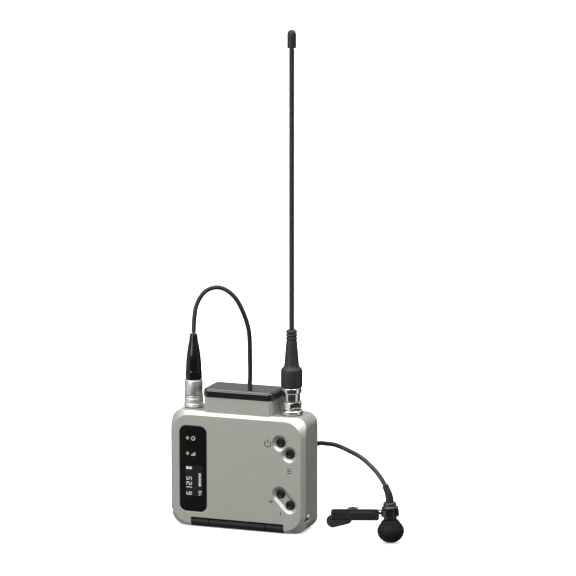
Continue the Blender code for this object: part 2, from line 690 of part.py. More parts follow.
def cord_coil():
    """The stored turns' outer shape, drawn in a little where the tie holds them."""
    r0, r1 = COIL_MEAN_R - COIL_HALF_W, COIL_MEAN_R + COIL_HALF_W
    profile = ((r0 + 1.2, COIL_H), (r1 - 1.2, COIL_H), (r1, COIL_H - 1.6), (r1, 1.6), (r1 - 1.2, 0),
               (r0 + 1.2, 0), (r0, 1.6), (r0, COIL_H - 1.6))
    x, y = COIL_AT
    made = turned("cord_coil", profile, black_rubber(), (x, y, 0), sides=32)
    outer = block((x - 2.1, y + r0 - 3, -3), (x + 2.1, y + r1 + 3, COIL_H + 3))
    waist = from_bmesh(outer, "coil_waist", None, cutter=True)
    kept = box_cutter("coil_kept", (x - 5, y + r0 + 1.0, 1.0), (x + 5, y + r1 - 1.0, COIL_H - 1.0))
    combine(waist, [kept])
    combine(made, [waist])
    band = from_bmesh(block((x - 1.8, y + r0 + 0.2, 0.1), (x + 1.8, y + r1 - 0.2, COIL_H - 0.1), 0, 1.0, 2),
                      "cord_tie", black_satin())
    return combine(band, [box_cutter("tie_hole", (x - 5, y + r0 + 0.7, 0.7), (x + 5, y + r1 - 0.7, COIL_H - 0.7))])


# ---------------------------------------------------------------- microphone and tie clip


def microphone():
    at = (MIC_X, MIC_Y, 0)
    body = ((0, 19.0), (2.5, 19.0), (2.95, 18.5), (2.95, 17.0), (3.75, 16.7), (3.75, 16.2), (2.95, 15.9),
            (2.95, 11.5), (2.5, 11.3), (2.5, 5.6), (0, 5.6))
    turned("mic_body", body, black_satin(), at, sides=24)
    capsule = ((0, 5.3), (2.4, 5.3), (2.4, 3.0), (0, 3.0))
    turned("mic_capsule", capsule, steel(), at, sides=16)
    outer = []
    for i in range(12):
        turn = math.radians(147.5 - 147.5 * i / 11)
        tall = BALL_LOW if turn < math.pi / 2 else BALL_R
        outer.append((BALL_R * math.sin(turn), BALL_R - tall * math.cos(turn)))
    ball = [(0, 2.5), (2.8, 2.5), (2.8, outer[0][1])] + outer[:-1] + [(0, BALL_R - BALL_LOW)]
    turned("windscreen", ball, foam(), at, sides=28)
    hang(("mic_body", "mic_capsule", "windscreen"), 0)
    lean = Matrix.Rotation(math.radians(-MIC_LEAN), 3, "Y")
    top = Vector((MIC_X, MIC_Y, BALL_LOW)) + lean @ Vector((0, 0, 19.25 - BALL_R))
    end = Vector(LEAD_OUT[-1]) - (Vector(LEAD_OUT[-1]) - Vector(LEAD_OUT[-2])).normalized() * -GAP
    relief = [top, top + lean @ Vector((0, 0, 1.2)), top + Vector((-0.35, 0.0, 2.6)),
              top + Vector((-0.85, 0.02, 4.2)), end]
    tube("mic_relief", relief, 1.85, black_rubber(), radii=(1, 0.97, 0.92, 0.87, 0.78))


def tie_clip():
    x0, x1, z0, z1 = CLIP_ARM
    px, py = CLIP_PIVOT
    origin = (MIC_X, MIC_Y, 0)
    arm = from_bmesh(block((x0, CLIP_Y, z0), (x1, CLIP_Y + SHEET, z1), 1, 1.2, 3), "clip_arm", black_satin(), origin)
    ring = ((4.0, 15.6), (4.0, 12.6), (3.25, 12.6), (3.25, 15.6))
    extras = [turned("ring_form", ring, None, origin, sides=24, cutter=True)]
    for low, high in NECKS:
        extras.append(box_cutter(f"neck_{low}", (x1 - 1.0, CLIP_Y + 0.1, low), (MIC_X - 3.45, CLIP_Y + 0.9, high)))
    for i, z in enumerate((z0, z1 - SHEET)):
        extras.append(box_cutter(f"ear_{i}", (px - 2.2, CLIP_Y + 0.2, z), (px + 2.2, py + 1.6, z + SHEET), 2, 0.6, 2))
    combine(arm, extras, "UNION")
    mouth = block((-2.5, -6, 10), (2.5, 0, 18))
    bmesh.ops.rotate(mouth, verts=mouth.verts, matrix=Matrix.Rotation(math.radians(25), 3, "Z"))
    bmesh.ops.translate(mouth, verts=mouth.verts, vec=origin)
    combine(arm, [from_bmesh(mouth, "ring_mouth", None, cutter=True),
                  rod("arm_pin_way", 0.75, 5, 20, (px, py, 0), "Z", sides=12)])
    clip_jaw(px, py)
    rod("clip_pin", 0.45, z0 - 0.4, z1 + 0.4, (px, py, 0), "Z", steel(), 12, False)
    turns, per_turn = 2.0, 10
    count = int(turns * per_turn)
    wire = [(px + 1.05 * math.cos(math.tau * i / per_turn), py + 1.05 * math.sin(math.tau * i / per_turn),
             12.85 + 0.7 * i / count) for i in range(count + 1)]
    tube("clip_spring", wire, 0.16, steel(), resolution=0)
    hang(("clip_arm", "clip_jaw", "clip_pin", "clip_spring"), CLIP_TURN)


def hang(names, turn):
    """Hang pieces, with their cutters, on an empty in the ball that turns and leans them."""
    pivot = bpy.data.objects.new(f"microphone_axis_{turn}", None)
    pivot.location = Vector((MIC_X, MIC_Y, BALL_LOW)) * MM
    pivot.rotation_mode = "ZYX"
    pivot.rotation_euler = (0, math.radians(-MIC_LEAN), math.radians(turn))
    bpy.data.collections[CUTTERS].objects.link(pivot)
    followers = [bpy.data.objects[name] for name in names]
    for piece in list(followers):
        followers += [step.object for step in piece.modifiers if step.type == "BOOLEAN"]
    for piece in followers:
        piece.parent = pivot
        piece.matrix_parent_inverse = Matrix.Translation(Vector((-MIC_X, -MIC_Y, -BALL_R)) * MM)


def clip_jaw(px, py):
    """The lever behind the arm: gripping end towards the microphone, thumb end slanting away."""
    low, high = 11.6, 14.8
    y = py - 1.0
    jaw = from_bmesh(block((px - 2.6, y, low), (CLIP_ARM[1] - 1.2, y + SHEET, high)), "clip_jaw", black_satin(),
                     (px, py, 0))
    ends = ((-9.3, 9.1, 2.9), (-1.9, 10.6, 2.2))
    thumb = hull_shape([(x, depth, z, radius) for x, z, radius in ends for depth in (0, SHEET)], 24)
    bmesh.ops.rotate(thumb, verts=thumb.verts, matrix=Matrix.Rotation(math.radians(-17), 3, "Z"))
    bmesh.ops.translate(thumb, verts=thumb.verts, vec=(px - 1.0, y, 0))
    extras = [from_bmesh(thumb, "thumb_form", None, cutter=True)]
    extras += [box_cutter(f"tooth_{i}", (x, y - 0.9, low + 0.01), (x + 0.6, y + 0.3, high - 0.01))
               for i, x in enumerate((60.0, 62.1, 64.2))]
    extras += [rod(f"jaw_barrel_{i}", 1.3, a, b, (px, py, 0), "Z", sides=16)
               for i, (a, b) in enumerate(((low, 12.6), (13.9, high)))]
    combine(jaw, extras, "UNION")
    combine(jaw, [box_cutter("spring_window", (px - 1.6, y - 2, 12.6), (px + 1.6, py + 3, 13.9)),
                  box_cutter("ear_way", (px - 2.6, y - 2, 6), (px + 3.0, py + 3, low)),
                  rod("jaw_pin_way", 0.75, 5, 20, (px, py, 0), "Z", sides=12)])
    return jaw


def build():
    clear_scene()
    front_case()
    rear_cover()
    cover_screws()
    link_cap()
    link_board()
    display_window()
    display_module()
    status_lamps()
    face_buttons()
    key_switches()
    main_board()
    radio_shield()
    battery_tray()
    battery()
    battery_contacts()
    battery_door()
    hinge_knuckles()
    hinge_pin()
    door_latch()
    mic_socket()
    mic_plug()
    antenna_jack()
    antenna_nut()
    antenna_collar()
    antenna_boot()
    antenna_whip()
    cord_tubes()
    cord_coil()
    microphone()
    tie_clip()


build()
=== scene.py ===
"""Looks for the wireless bodypack transmitter: fine shells, turned parts, the lead and materials.

Shapes are made in millimetres and become metres when a mesh is made. X runs across the face,
the face looks along -Y, and Z is up, as in the frame.
"""

import math

import bmesh
import bpy
from mathutils import Matrix, Vector


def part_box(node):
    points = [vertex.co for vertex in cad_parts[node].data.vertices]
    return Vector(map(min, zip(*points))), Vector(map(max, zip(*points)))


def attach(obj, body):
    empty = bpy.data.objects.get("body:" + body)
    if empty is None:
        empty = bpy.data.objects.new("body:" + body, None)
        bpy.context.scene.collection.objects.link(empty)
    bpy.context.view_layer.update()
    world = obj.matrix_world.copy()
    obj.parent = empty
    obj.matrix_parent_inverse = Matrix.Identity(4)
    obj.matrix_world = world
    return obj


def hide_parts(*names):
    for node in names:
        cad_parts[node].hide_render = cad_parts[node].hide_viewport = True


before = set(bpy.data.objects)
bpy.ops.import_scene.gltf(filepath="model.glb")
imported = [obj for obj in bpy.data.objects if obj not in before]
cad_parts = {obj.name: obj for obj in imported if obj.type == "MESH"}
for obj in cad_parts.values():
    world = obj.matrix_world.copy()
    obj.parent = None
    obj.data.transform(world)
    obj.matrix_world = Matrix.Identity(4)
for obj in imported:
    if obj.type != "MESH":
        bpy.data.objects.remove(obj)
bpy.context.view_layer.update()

MM = 0.001
HALF_W, FRONT, REAR, HEIGHT = 32.2, -9.4, 9.4, 53.2  # the housing
CORNER_R, FACE_CORNER_R, FRONT_CHAMFER, REAR_ROUND, WALL = 5.3, 7.8, 1.7, 1.2, 1.5
CAP_LIP = 0.45  # how far the top cap stands out over its riser
SEAM_Y, SEAM_GAP = 5.0, 0.15
DISH_R, DISH_FLOOR_R, DISH_DEPTH = 3.65, 2.4, 1.1
SCREW_PLACES = ((-27.2, 6.6), (27.2, 6.6), (-13.0, 48.6), (12.2, 48.6))
BALL_R, BALL_LOW, MIC_LEAN = 6.0, 5.4, 2.4  # the windscreen, and the microphone's lean in degrees
CLIP_ARM = (45.3, 67.0, 10.6, 15.8)  # x0, x1, z0, z1 before the clip is swung
CLIP_Y, SHEET, CLIP_PIVOT, CLIP_TURN = -7.5, 0.7, (54.8, -4.6), 9.0
NOTCH_HOLE = (-1.8, 7.4)  # y, z
BUTTON_NAMES = ("power_button", "set_button", "plus_button", "minus_button")

# the camera, placed by azimuth and pitch round the housing
CAMERA_AT = (563.7, -1502.6, 403.2)
CAMERA_AZIMUTH, CAMERA_PITCH = 19.856, 10.386
LENS, SENSOR = 228.4, 36.0

# the studio: brightness round the horizon (a turn from -X), brightness from nadir to zenith
FLOOR = 20000
STRIPS = ((0.0, 0.5), (0.04, 0.95), (0.12, 0.95), (0.17, 0.05), (0.45, 0.04), (0.49, 0.8), (0.53, 0.8),
          (0.58, 0.05), (0.76, 0.05), (0.82, 0.5), (0.9, 0.5), (0.95, 0.15))
CEILING = ((0.5, 0.3), (0.7, 0.45), (0.88, 1.3), (0.96, 2.4))
LAMP_TOWARDS, LAMP_GLOW = (0.577, -0.363, 0.731), 4.0  # a round lamp that only mirrors show clearly

# the lead
CORD_R, CORD_LENGTH = 1.05, 1200.0
COIL_AT, COIL_MEAN_R = (-14.0, 28.4), 12.0
TIE_ANGLE = 90.0
LEAD_IN = (
    (-24.1, 0.0, 87.1), (-24.2, 1.2, 93.3), (-23.9, 3.0, 98.9), (-21.9, 5.0, 103.7),
    (-19.2, 6.8, 106.2), (-15.3, 8.2, 107.0), (-11.3, 9.4, 105.5), (-7.6, 10.4, 101.9),
    (-4.9, 11.3, 96.6), (-2.9, 11.9, 91.0), (-1.9, 12.3, 85.0), (-1.8, 12.7, 76.0),
    (-2.0, 12.9, 63.0), (-4.6, 13.0, 50.0), (-10.0, 13.0, 37.0), (-18.0, 12.9, 25.0),
    (-24.8, 12.7, 15.5), (-28.2, 12.4, 8.2), (-27.4, 12.1, 3.0), (-23.6, 11.9, 1.25),
    (-20.4, 11.95, 1.15), (-17.0, 12.1, 1.15),
)
LEAD_OUT = (
    (-13.0, 16.4, 7.6), (-5.0, 15.8, 9.2), (3.0, 14.9, 15.2), (11.0, 13.9, 24.2),
    (20.0, 13.2, 32.6), (30.3, 12.6, 37.5), (36.1, 9.7, 38.6), (41.9, 6.4, 39.0),
    (48.2, 2.9, 38.1), (55.5, -1.0, 36.4), (61.3, -3.8, 33.5), (66.2, -5.6, 29.5),
    (69.43, -6.64, 25.34),
)


# ---------------------------------------------------------------- frame helpers


def span(node):
    """A CAD node's lowest and highest corners in millimetres."""
    low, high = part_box(node)
    return low / MM, high / MM


def centre(node):
    low, high = span(node)
    return (low + high) / 2


# ---------------------------------------------------------------- materials


class Shader:
    """A Principled material with a few nodes for grain, tint and wear."""

    def __init__(self, name, colour, roughness, metallic=0.0):
        self.material = bpy.data.materials.new(name)
        self.material.use_nodes = True
        self.nodes = self.material.node_tree.nodes
        self.links = self.material.node_tree.links
        self.body = self.nodes["Principled BSDF"]
        self.colour = (*colour, 1.0)
        self.set("Base Color", self.colour)
        self.set("Roughness", roughness)
        self.set("Metallic", metallic)
        self.roughness = roughness
        self.place = self.nodes.new("ShaderNodeTexCoord").outputs["Object"]
        self.bump = None

    def set(self, socket, value):
        self.body.inputs[socket].default_value = value
        return self

    def noise(self, size, detail=4.0, stretch=(1, 1, 1), distortion=0.0):
        """Noise whose features are about `size` millimetres, drawn out along an axis by stretch."""
        mapping = self.nodes.new("ShaderNodeMapping")
        mapping.inputs["Scale"].default_value = stretch
        self.links.new(self.place, mapping.inputs["Vector"])
        made = self.nodes.new("ShaderNodeTexNoise")
        made.inputs["Scale"].default_value = 1.0 / (size * MM)
        made.inputs["Detail"].default_value = detail
        made.inputs["Distortion"].default_value = distortion
        self.links.new(mapping.outputs["Vector"], made.inputs["Vector"])
        return made.outputs["Fac"]

    def cells(self, size, feature="F1"):
        made = self.nodes.new("ShaderNodeTexVoronoi")
        made.feature = feature
        made.inputs["Scale"].default_value = 1.0 / (size * MM)
        self.links.new(self.place, made.inputs["Vector"])
        return made.outputs["Distance"]

    def bands(self, size, axis="Z", distortion=0.4):
        made = self.nodes.new("ShaderNodeTexWave")
        made.wave_type = "BANDS"
        made.bands_direction = axis
        made.inputs["Scale"].default_value = 0.314 / (size * MM)
        made.inputs["Distortion"].default_value = distortion
        made.inputs["Detail"].default_value = 2.0
        self.links.new(self.place, made.inputs["Vector"])
        return made.outputs["Fac"]

    def ramp(self, source, stops):
        made = self.nodes.new("ShaderNodeValToRGB")
        items = made.color_ramp.elements
        while len(items) < len(stops):
            items.new(0.5)
        for item, (at, colour) in zip(items, stops):
            item.position = at
            item.color = (*colour, 1.0)
        self.links.new(source, made.inputs["Fac"])
        return made.outputs["Color"]

    def spread(self, source, low, high):
        made = self.nodes.new("ShaderNodeMapRange")
        made.inputs["To Min"].default_value = low
        made.inputs["To Max"].default_value = high
        self.links.new(source, made.inputs["Value"])
        return made.outputs["Result"]

    def tint(self, source, amount):
        """Lighten and darken the colour by noise."""
        dark = [c * (1 - amount) for c in self.colour[:3]]
        light = [min(1.0, c * (1 + amount)) for c in self.colour[:3]]
        colour = self.ramp(source, ((0.3, dark), (0.7, light)))
        self.links.new(colour, self.body.inputs["Base Color"])
        self.tinted = colour
        return self

    def wear(self, worn, reach=0.25, amount=0.5):
        """Show a worn colour along edges, where a rounded normal differs from the true one."""
        rounded = self.nodes.new("ShaderNodeBevel")
        rounded.samples = 4
        rounded.inputs["Radius"].default_value = reach * MM
        facing = self.nodes.new("ShaderNodeVectorMath")
        facing.operation = "DOT_PRODUCT"
        self.links.new(rounded.outputs["Normal"], facing.inputs[0])
        self.links.new(self.nodes.new("ShaderNodeNewGeometry").outputs["Normal"], facing.inputs[1])
        edge = self.nodes.new("ShaderNodeMapRange")
        edge.inputs["From Min"].default_value = 0.88
        edge.inputs["From Max"].default_value = 0.995
        edge.inputs["To Min"].default_value = amount
        edge.inputs["To Max"].default_value = 0.0
        self.links.new(facing.outputs["Value"], edge.inputs["Value"])
        mix = self.nodes.new("ShaderNodeMix")
        mix.data_type = "RGBA"
        self.links.new(edge.outputs["Result"], mix.inputs["Factor"])
        self.links.new(self.tinted, mix.inputs["A"])
        mix.inputs["B"].default_value = (*worn, 1.0)
        self.links.new(mix.outputs["Result"], self.body.inputs["Base Color"])
        return self

    def polish(self, source, change):
        """Vary the roughness by noise."""
        low, high = max(0.02, self.roughness - change), self.roughness + change
        self.links.new(self.spread(source, low, high), self.body.inputs["Roughness"])
        return self

    def relief(self, source, depth, strength=1.0):
        """Bump of a depth in millimetres; a second call adds to the first."""
        made = self.nodes.new("ShaderNodeBump")
        made.inputs["Strength"].default_value = strength
        made.inputs["Distance"].default_value = depth * MM
        self.links.new(source, made.inputs["Height"])
        if self.bump:
            self.links.new(self.bump, made.inputs["Normal"])
        self.bump = made.outputs["Normal"]
        self.links.new(self.bump, self.body.inputs["Normal"])
        return self


def make_paint():
    """Champagne metallic paint: fine flake, a slight orange peel, bright worn edges."""
    paint = Shader("champagne_paint", (0.385, 0.386, 0.348), 0.36, 0.45)
    paint.tint(paint.noise(0.25, 6), 0.09)
    paint.wear((0.6, 0.59, 0.55), 0.2, 0.35)
    paint.polish(paint.noise(3.5), 0.05)
    paint.relief(paint.noise(0.16, 3), 0.012)
    paint.relief(paint.noise(1.6, 2), 0.006)
    return paint.set("Coat Weight", 0.15).set("Coat Roughness", 0.2).material


def make_gloss(name, colour, mirror):
    gloss = Shader(name, colour, 0.09)
    gloss.tint(gloss.noise(6.0), 0.2)
    gloss.polish(gloss.noise(2.2, 6), 0.04)
    gloss.relief(gloss.noise(5.0, 1), 0.01, 0.5)
    gloss.set("Specular IOR Level", mirror)
    return gloss.set("Coat Weight", 0.8 * mirror).set("Coat Roughness", 0.05).material


def make_satin(name, colour, roughness, grain=0.22, mirror=0.35):
    """Moulded black plastic with a spark-eroded grain."""
    satin = Shader(name, colour, roughness)
    satin.tint(satin.noise(1.8, 5), 0.2)
    satin.wear([c * 2.5 + 0.008 for c in colour], 0.15, 0.5)
    satin.polish(satin.noise(grain, 3), 0.09)
    satin.relief(satin.cells(grain), 0.02, 0.6)
    return satin.set("Specular IOR Level", mirror).material


def make_rubber(name, colour, roughness, stretch=(1, 1, 1)):
    rubber = Shader(name, colour, roughness)
    rubber.tint(rubber.noise(2.5, 6, stretch), 0.25)
    rubber.polish(rubber.noise(0.9, 4, stretch), 0.08)
    rubber.relief(rubber.noise(0.12, 3, stretch), 0.015, 0.7)
    return rubber.set("Specular IOR Level", 0.35).material


def make_plating(name, colour, roughness, turned_lines=True):
    """Bright plating with lathe lines and faint cloudiness."""
    plate = Shader(name, colour, roughness, 1.0)
    plate.tint(plate.noise(2.0, 5), 0.1)
    plate.polish(plate.noise(0.7, 5, (1, 1, 4)), 0.07)
    if turned_lines:
        plate.relief(plate.bands(0.09), 0.004, 0.35)
    plate.relief(plate.noise(0.2, 2), 0.003, 0.4)
    return plate.material


def make_stud_with_painted_glint():
    """A dull nickel surface whose near-white colour is mostly diffuse: a painted highlight that stays bright
    under any light.
    """
    dull = Shader("nickel_with_painted_glint", (0.85, 0.85, 0.83), 0.45, 0.3)
    dull.tint(dull.noise(0.4, 4), 0.08)
    dull.polish(dull.noise(0.2, 3), 0.08)
    return dull.relief(dull.noise(0.1), 0.004, 0.5).material


def make_mesh_foam():
    """The windscreen's open black surface."""
    foam = Shader("windscreen_surface", (0.004, 0.004, 0.0042), 0.65)
    foam.tint(foam.cells(0.42), 0.8)
    foam.relief(foam.cells(0.42), 0.16, 1.0)
    foam.relief(foam.noise(0.15, 4), 0.05, 0.8)
    return foam.set("Specular IOR Level", 0.18).material


def make_lamp():
    lamp = Shader("lamp_lens", (0.16, 0.3, 0.06), 0.2)
    lamp.tint(lamp.noise(0.6, 2), 0.25)
    lamp.relief(lamp.noise(0.3, 2), 0.01)
    lamp.set("Emission Color", (0.3, 0.55, 0.1, 1.0)).set("Emission Strength", 0.12)
    return lamp.set("Coat Weight", 0.6).material


def make_pixels():
    """Lit cells of the display, each a little uneven. The printed lamp signs share it, which puts a painted
    glow on them.
    """
    lit = Shader("display_cells", (0.4, 0.42, 0.4), 0.2)
    lit.tint(lit.cells(0.3), 0.5)
    lit.relief(lit.cells(0.3), 0.01)
    return lit.set("Emission Color", (0.6, 0.64, 0.6, 1)).set("Emission Strength", 0.3).material


def make_print():
    ink = Shader("printed_mark", (0.03, 0.03, 0.03), 0.55)
    ink.tint(ink.noise(0.3, 4), 0.3)
    ink.relief(ink.noise(0.1), 0.005)
    return ink.material


def make_board():
    """Green laminate with copper tracks just under its mask."""
    board = Shader("board_laminate", (0.012, 0.09, 0.035), 0.4)
    board.tint(board.bands(1.3, "X", 6.0), 0.45)
    board.relief(board.bands(1.3, "X", 6.0), 0.03, 0.6)
    return board.polish(board.noise(0.8), 0.1).material


def make_battery():
    case = Shader("battery_sleeve", (0.035, 0.035, 0.04), 0.42)
    case.tint(case.noise(4.0, 3), 0.2)
    case.polish(case.noise(0.3, 3), 0.06)
    case.relief(case.noise(0.2), 0.01)
    return case.material


def make_floor():
    pale = Shader("studio_sweep", (0.86, 0.86, 0.855), 0.6)
    pale.tint(pale.noise(300.0, 3), 0.01)
    pale.set("Emission Color", (1, 1, 1, 1)).set("Emission Strength", 0.45)
    return pale.material


LOOK = {
    "paint": make_paint(),
    "gloss": make_gloss("gloss_black", (0.012, 0.012, 0.013), 0.5),
    "glass": make_gloss("window_black", (0.006, 0.006, 0.0065), 0.25),
    "satin": make_satin("satin_black", (0.014, 0.014, 0.015), 0.42),
    # A darker copy of the black satin for the door and hinge: its colour is painted shade against the front
    # light that they face; the rougher, duller finish is their own.
    "door": make_satin("door_black_painted_shade", (0.008, 0.008, 0.008), 0.5, 0.25, 0.15),
    "key": make_satin("button_black", (0.005, 0.005, 0.005), 0.42, 0.3, 0.25),
    "screen": make_satin("display_ground", (0.006, 0.0065, 0.006), 0.45, 0.4, 0.2),
    "lacquer": make_satin("clip_lacquer", (0.014, 0.014, 0.0145), 0.3, 0.3, 0.5),
    "rubber": make_rubber("antenna_rubber", (0.017, 0.018, 0.0165), 0.5),
    "jacket": make_rubber("cord_jacket", (0.014, 0.014, 0.014), 0.42),
    "plating": make_plating("bright_plating", (0.72, 0.71, 0.69), 0.12),
    "satin_plating": make_plating("satin_plating", (0.7, 0.69, 0.67), 0.42),
    "stud": make_stud_with_painted_glint(),
    "steel": make_plating("dark_steel", (0.16, 0.16, 0.165), 0.34, False),
    "gold": make_plating("gold_contact", (0.62, 0.43, 0.14), 0.25, False),
    "foam": make_mesh_foam(),
    "lamp": make_lamp(),
    "pixels": make_pixels(),
    "ink": make_print(),
    "board": make_board(),
    "battery": make_battery(),
    "floor": make_floor(),
}


# ---------------------------------------------------------------- mesh helpers


def settle(obj, look, body, replaces=()):
    """Give a finished piece its material and body, and hide the CAD nodes that it stands for."""
    if not obj.data.materials:
        obj.data.materials.append(LOOK[look])
    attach(obj, body)
    if replaces:
        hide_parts(*replaces)
    return obj


def to_object(shape, name, sharp=32.0):
    bmesh.ops.scale(shape, verts=shape.verts, vec=(MM, MM, MM))
    bmesh.ops.recalc_face_normals(shape, faces=shape.faces)
    mesh = bpy.data.meshes.new(name)
    shape.to_mesh(mesh)
    shape.free()
    mesh.shade_smooth()
    mesh.set_sharp_from_angle(angle=math.radians(sharp))
    made = bpy.data.objects.new(name, mesh)
    bpy.context.scene.collection.objects.link(made)
    return made


def block(low, high, round_axis=None, radius=0.0, steps=6, ease=0.0):
    """A box between two corners, its edges along one axis rounded, then every edge eased."""
    shape = bmesh.new()
    bmesh.ops.create_cube(shape, size=1.0)
    low, high = Vector(low), Vector(high)
    bmesh.ops.scale(shape, verts=shape.verts, vec=high - low)
    bmesh.ops.translate(shape, verts=shape.verts, vec=(low + high) / 2)
    if round_axis is not None:
        picked = [e for e in shape.edges if along(e, round_axis)]
        bevel(shape, picked, radius, steps)
    if ease:
        bevel(shape, [e for e in shape.edges if edge_angle(e) > 0.5], ease, 2)
    return shape


def bevel(shape, edges, width, steps):
    bmesh.ops.bevel(shape, geom=edges, offset=width, segments=steps, profile=0.5,
                    affect="EDGES", clamp_overlap=False)


def along(edge, axis):
    step = edge.verts[1].co - edge.verts[0].co
    return abs(step[axis]) > 0.99 * step.length


def edge_angle(edge):
    return edge.calc_face_angle(0.0)


def ease_face(shape, axis, at, width, steps=1):
    """Chamfer or round the outline of the flat face that lies at one place along an axis."""
    picked = [e for e in shape.edges if all(abs(v.co[axis] - at) < 1e-4 for v in e.verts)
              and len([f for f in e.link_faces if abs(f.normal[axis]) < 0.5]) == 1]
    bevel(shape, picked, width, steps)


def eased(profile, radius):
    """A turned profile with its corners rounded by up to the given radius."""
    points = [Vector(p) for p in profile]
    out = [points[0]]
    for a, b, c in zip(points, points[1:], points[2:]):
        reach = min(radius, (a - b).length * 0.45, (c - b).length * 0.45)
        p, q = b + (a - b).normalized() * reach, b + (c - b).normalized() * reach
        for t in (0.0, 0.5, 1.0):
            out.append(p.lerp(b, t).lerp(b.lerp(q, t), t))
    return out + [points[-1]]


def lathe(name, profile, at=(0, 0, 0), axis="Z", sides=64, radius=0.12, wave=None, sharp=40.0):
    """Turn (radius, height) pairs round an axis. wave(radius, height, angle) may shift a radius."""
    rings = eased(profile, radius) if radius else [Vector(p) for p in profile]
    shape = bmesh.new()
    table = []
    for r, h in rings:
        if r < 1e-6:
            table.append([shape.verts.new((0, 0, h))])
            continue
        ring = []
        for i in range(sides):
            turn = math.tau * i / sides
            now = wave(r, h, turn) if wave else r
            ring.append(shape.verts.new((now * math.cos(turn), now * math.sin(turn), h)))
        table.append(ring)
    if profile[0][0] > 1e-6:
        table.append(table[0])
    for upper, lower in zip(table, table[1:]):
        for i in range(sides):
            k = (i + 1) % sides
            corners = [upper[i % len(upper)], upper[k % len(upper)],
                       lower[k % len(lower)], lower[i % len(lower)]]
            corners = list(dict.fromkeys(corners))
            if len(corners) > 2:
                shape.faces.new(corners)
    if axis == "Y":
        bmesh.ops.rotate(shape, verts=shape.verts, matrix=Matrix.Rotation(math.radians(-90), 3, "X"))
    elif axis == "X":
        bmesh.ops.rotate(shape, verts=shape.verts, matrix=Matrix.Rotation(math.radians(90), 3, "Y"))
    bmesh.ops.translate(shape, verts=shape.verts, vec=at)
    return to_object(shape, name, sharp)


def hull_of_circles(name, circles, sides=48):
    shape = bmesh.new()
    for x, y, z, radius in circles:
        for i in range(sides):
            turn = math.tau * i / sides
            shape.verts.new((x + radius * math.cos(turn), y, z + radius * math.sin(turn)))
    found = bmesh.ops.convex_hull(shape, input=shape.verts)
    loose = [v for v in found["geom_interior"] if isinstance(v, bmesh.types.BMVert)]
    bmesh.ops.delete(shape, geom=loose, context="VERTS")
    return to_object(shape, name)


def bar(name, radius, low, high, at, axis, sides=48):
    return lathe(name, ((0, high), (radius, high), (radius, low), (0, low)), at, axis, sides, 0)


def carve(target, tools, operation="DIFFERENCE"):
    """Apply Booleans one after another and remove their tools."""
    for tool in tools:
        step = target.modifiers.new("step", "BOOLEAN")
        step.operation, step.solver, step.object = operation, "EXACT", tool
    apply_modifiers(target)
    for tool in tools:
        bpy.data.objects.remove(tool)
    return target


def apply_modifiers(target):
    graph = bpy.context.evaluated_depsgraph_get()
    graph.update()
    mesh = bpy.data.meshes.new_from_object(target.evaluated_get(graph))
    target.modifiers.clear()
    target.data = mesh
    return target


def soften(target, width, limit=26.0):
    """Round a carved piece's edges finely, and keep its flat faces flat in the shading."""
    clean = bmesh.new()
    clean.from_mesh(target.data)
    bmesh.ops.remove_doubles(clean, verts=clean.verts, dist=0.012 * MM)
    bmesh.ops.dissolve_degenerate(clean, dist=0.008 * MM, edges=clean.edges)
    clean.to_mesh(target.data)
    clean.free()
    target.data.shade_smooth()
    if width:
        step = target.modifiers.new("soften", "BEVEL")
        step.width, step.segments, step.limit_method = width * MM, 2, "ANGLE"
        step.angle_limit = math.radians(limit)
        step.use_clamp_overlap = False
        step.miter_outer = "MITER_ARC"
    apply_modifiers(target)
    even_shading(target.data)
    return target


def even_shading(mesh, turn=0.55):
    """Point each corner's normal the way that its largest neighbours face, so that flat faces stay flat."""
    faces = [(face.normal.copy(), face.area / MM ** 2) for face in mesh.polygons]
    around = [[] for _ in mesh.vertices]
    for face in mesh.polygons:
        for corner in face.vertices:
            around[corner].append(face.index)
    normals = [None] * len(mesh.loops)
    for face in mesh.polygons:
        own, area = faces[face.index]
        for loop, corner in zip(face.loop_indices, face.vertices):
            near = [faces[i] for i in around[corner] if faces[i][0].dot(own) > turn]
            top = max([size for _, size in near], default=area)
            total = Vector()
            for normal, size in near:
                total += normal * (size / max(top, 1e-9)) ** 2
            normals[loop] = tuple((own if area > 4.0 or not total.length else total).normalized())
    mesh.normals_split_custom_set(normals)


def joined(name, shapes):
    """One mesh piece made of several bmeshes."""
    whole = bmesh.new()
    for shape in shapes:
        part = bpy.data.meshes.new("part")
        shape.to_mesh(part)
        shape.free()
        whole.from_mesh(part)
        bpy.data.meshes.remove(part)
    return to_object(whole, name)


def turn_shape(shape, angle, axis, pivot):
    bmesh.ops.rotate(shape, verts=shape.verts, cent=pivot,
                     matrix=Matrix.Rotation(math.radians(angle), 3, axis))
    return shape


def smooth_route(points, step):
    """Points about a step apart along a smooth curve through the route's own points."""
    knots = [Vector(p) for p in points]
    ends = [2 * knots[0] - knots[1]] + knots + [2 * knots[-1] - knots[-2]]
    out = []
    for i in range(len(knots) - 1):
        a, b, c, d = ends[i:i + 4]
        count = max(2, round((c - b).length / step))
        for k in range(count):
            t = k / count
            out.append(0.5 * (2 * b + (c - a) * t + (2 * a - 5 * b + 4 * c - d) * t * t
                              + (3 * b - a - 3 * c + d) * t ** 3))
    return out + [knots[-1]]


def tube(name, points, radius, radii=None, resolution=5):
    """A round curve tube through points in millimetres."""
    curve = bpy.data.curves.new(name, "CURVE")
    curve.dimensions = "3D"
    curve.bevel_depth = radius * MM
    curve.bevel_resolution = resolution
    curve.use_fill_caps = True
    line = curve.splines.new("POLY")
    line.points.add(len(points) - 1)
    line.use_smooth = True
    for i, point in enumerate(points):
        line.points[i].co = (*(Vector(point) * MM), 1.0)
        line.points[i].radius = radii[i] if radii else 1.0
    made = bpy.data.objects.new(name, curve)
    bpy.context.scene.collection.objects.link(made)
    return made


# ---------------------------------------------------------------- camera, light, floor


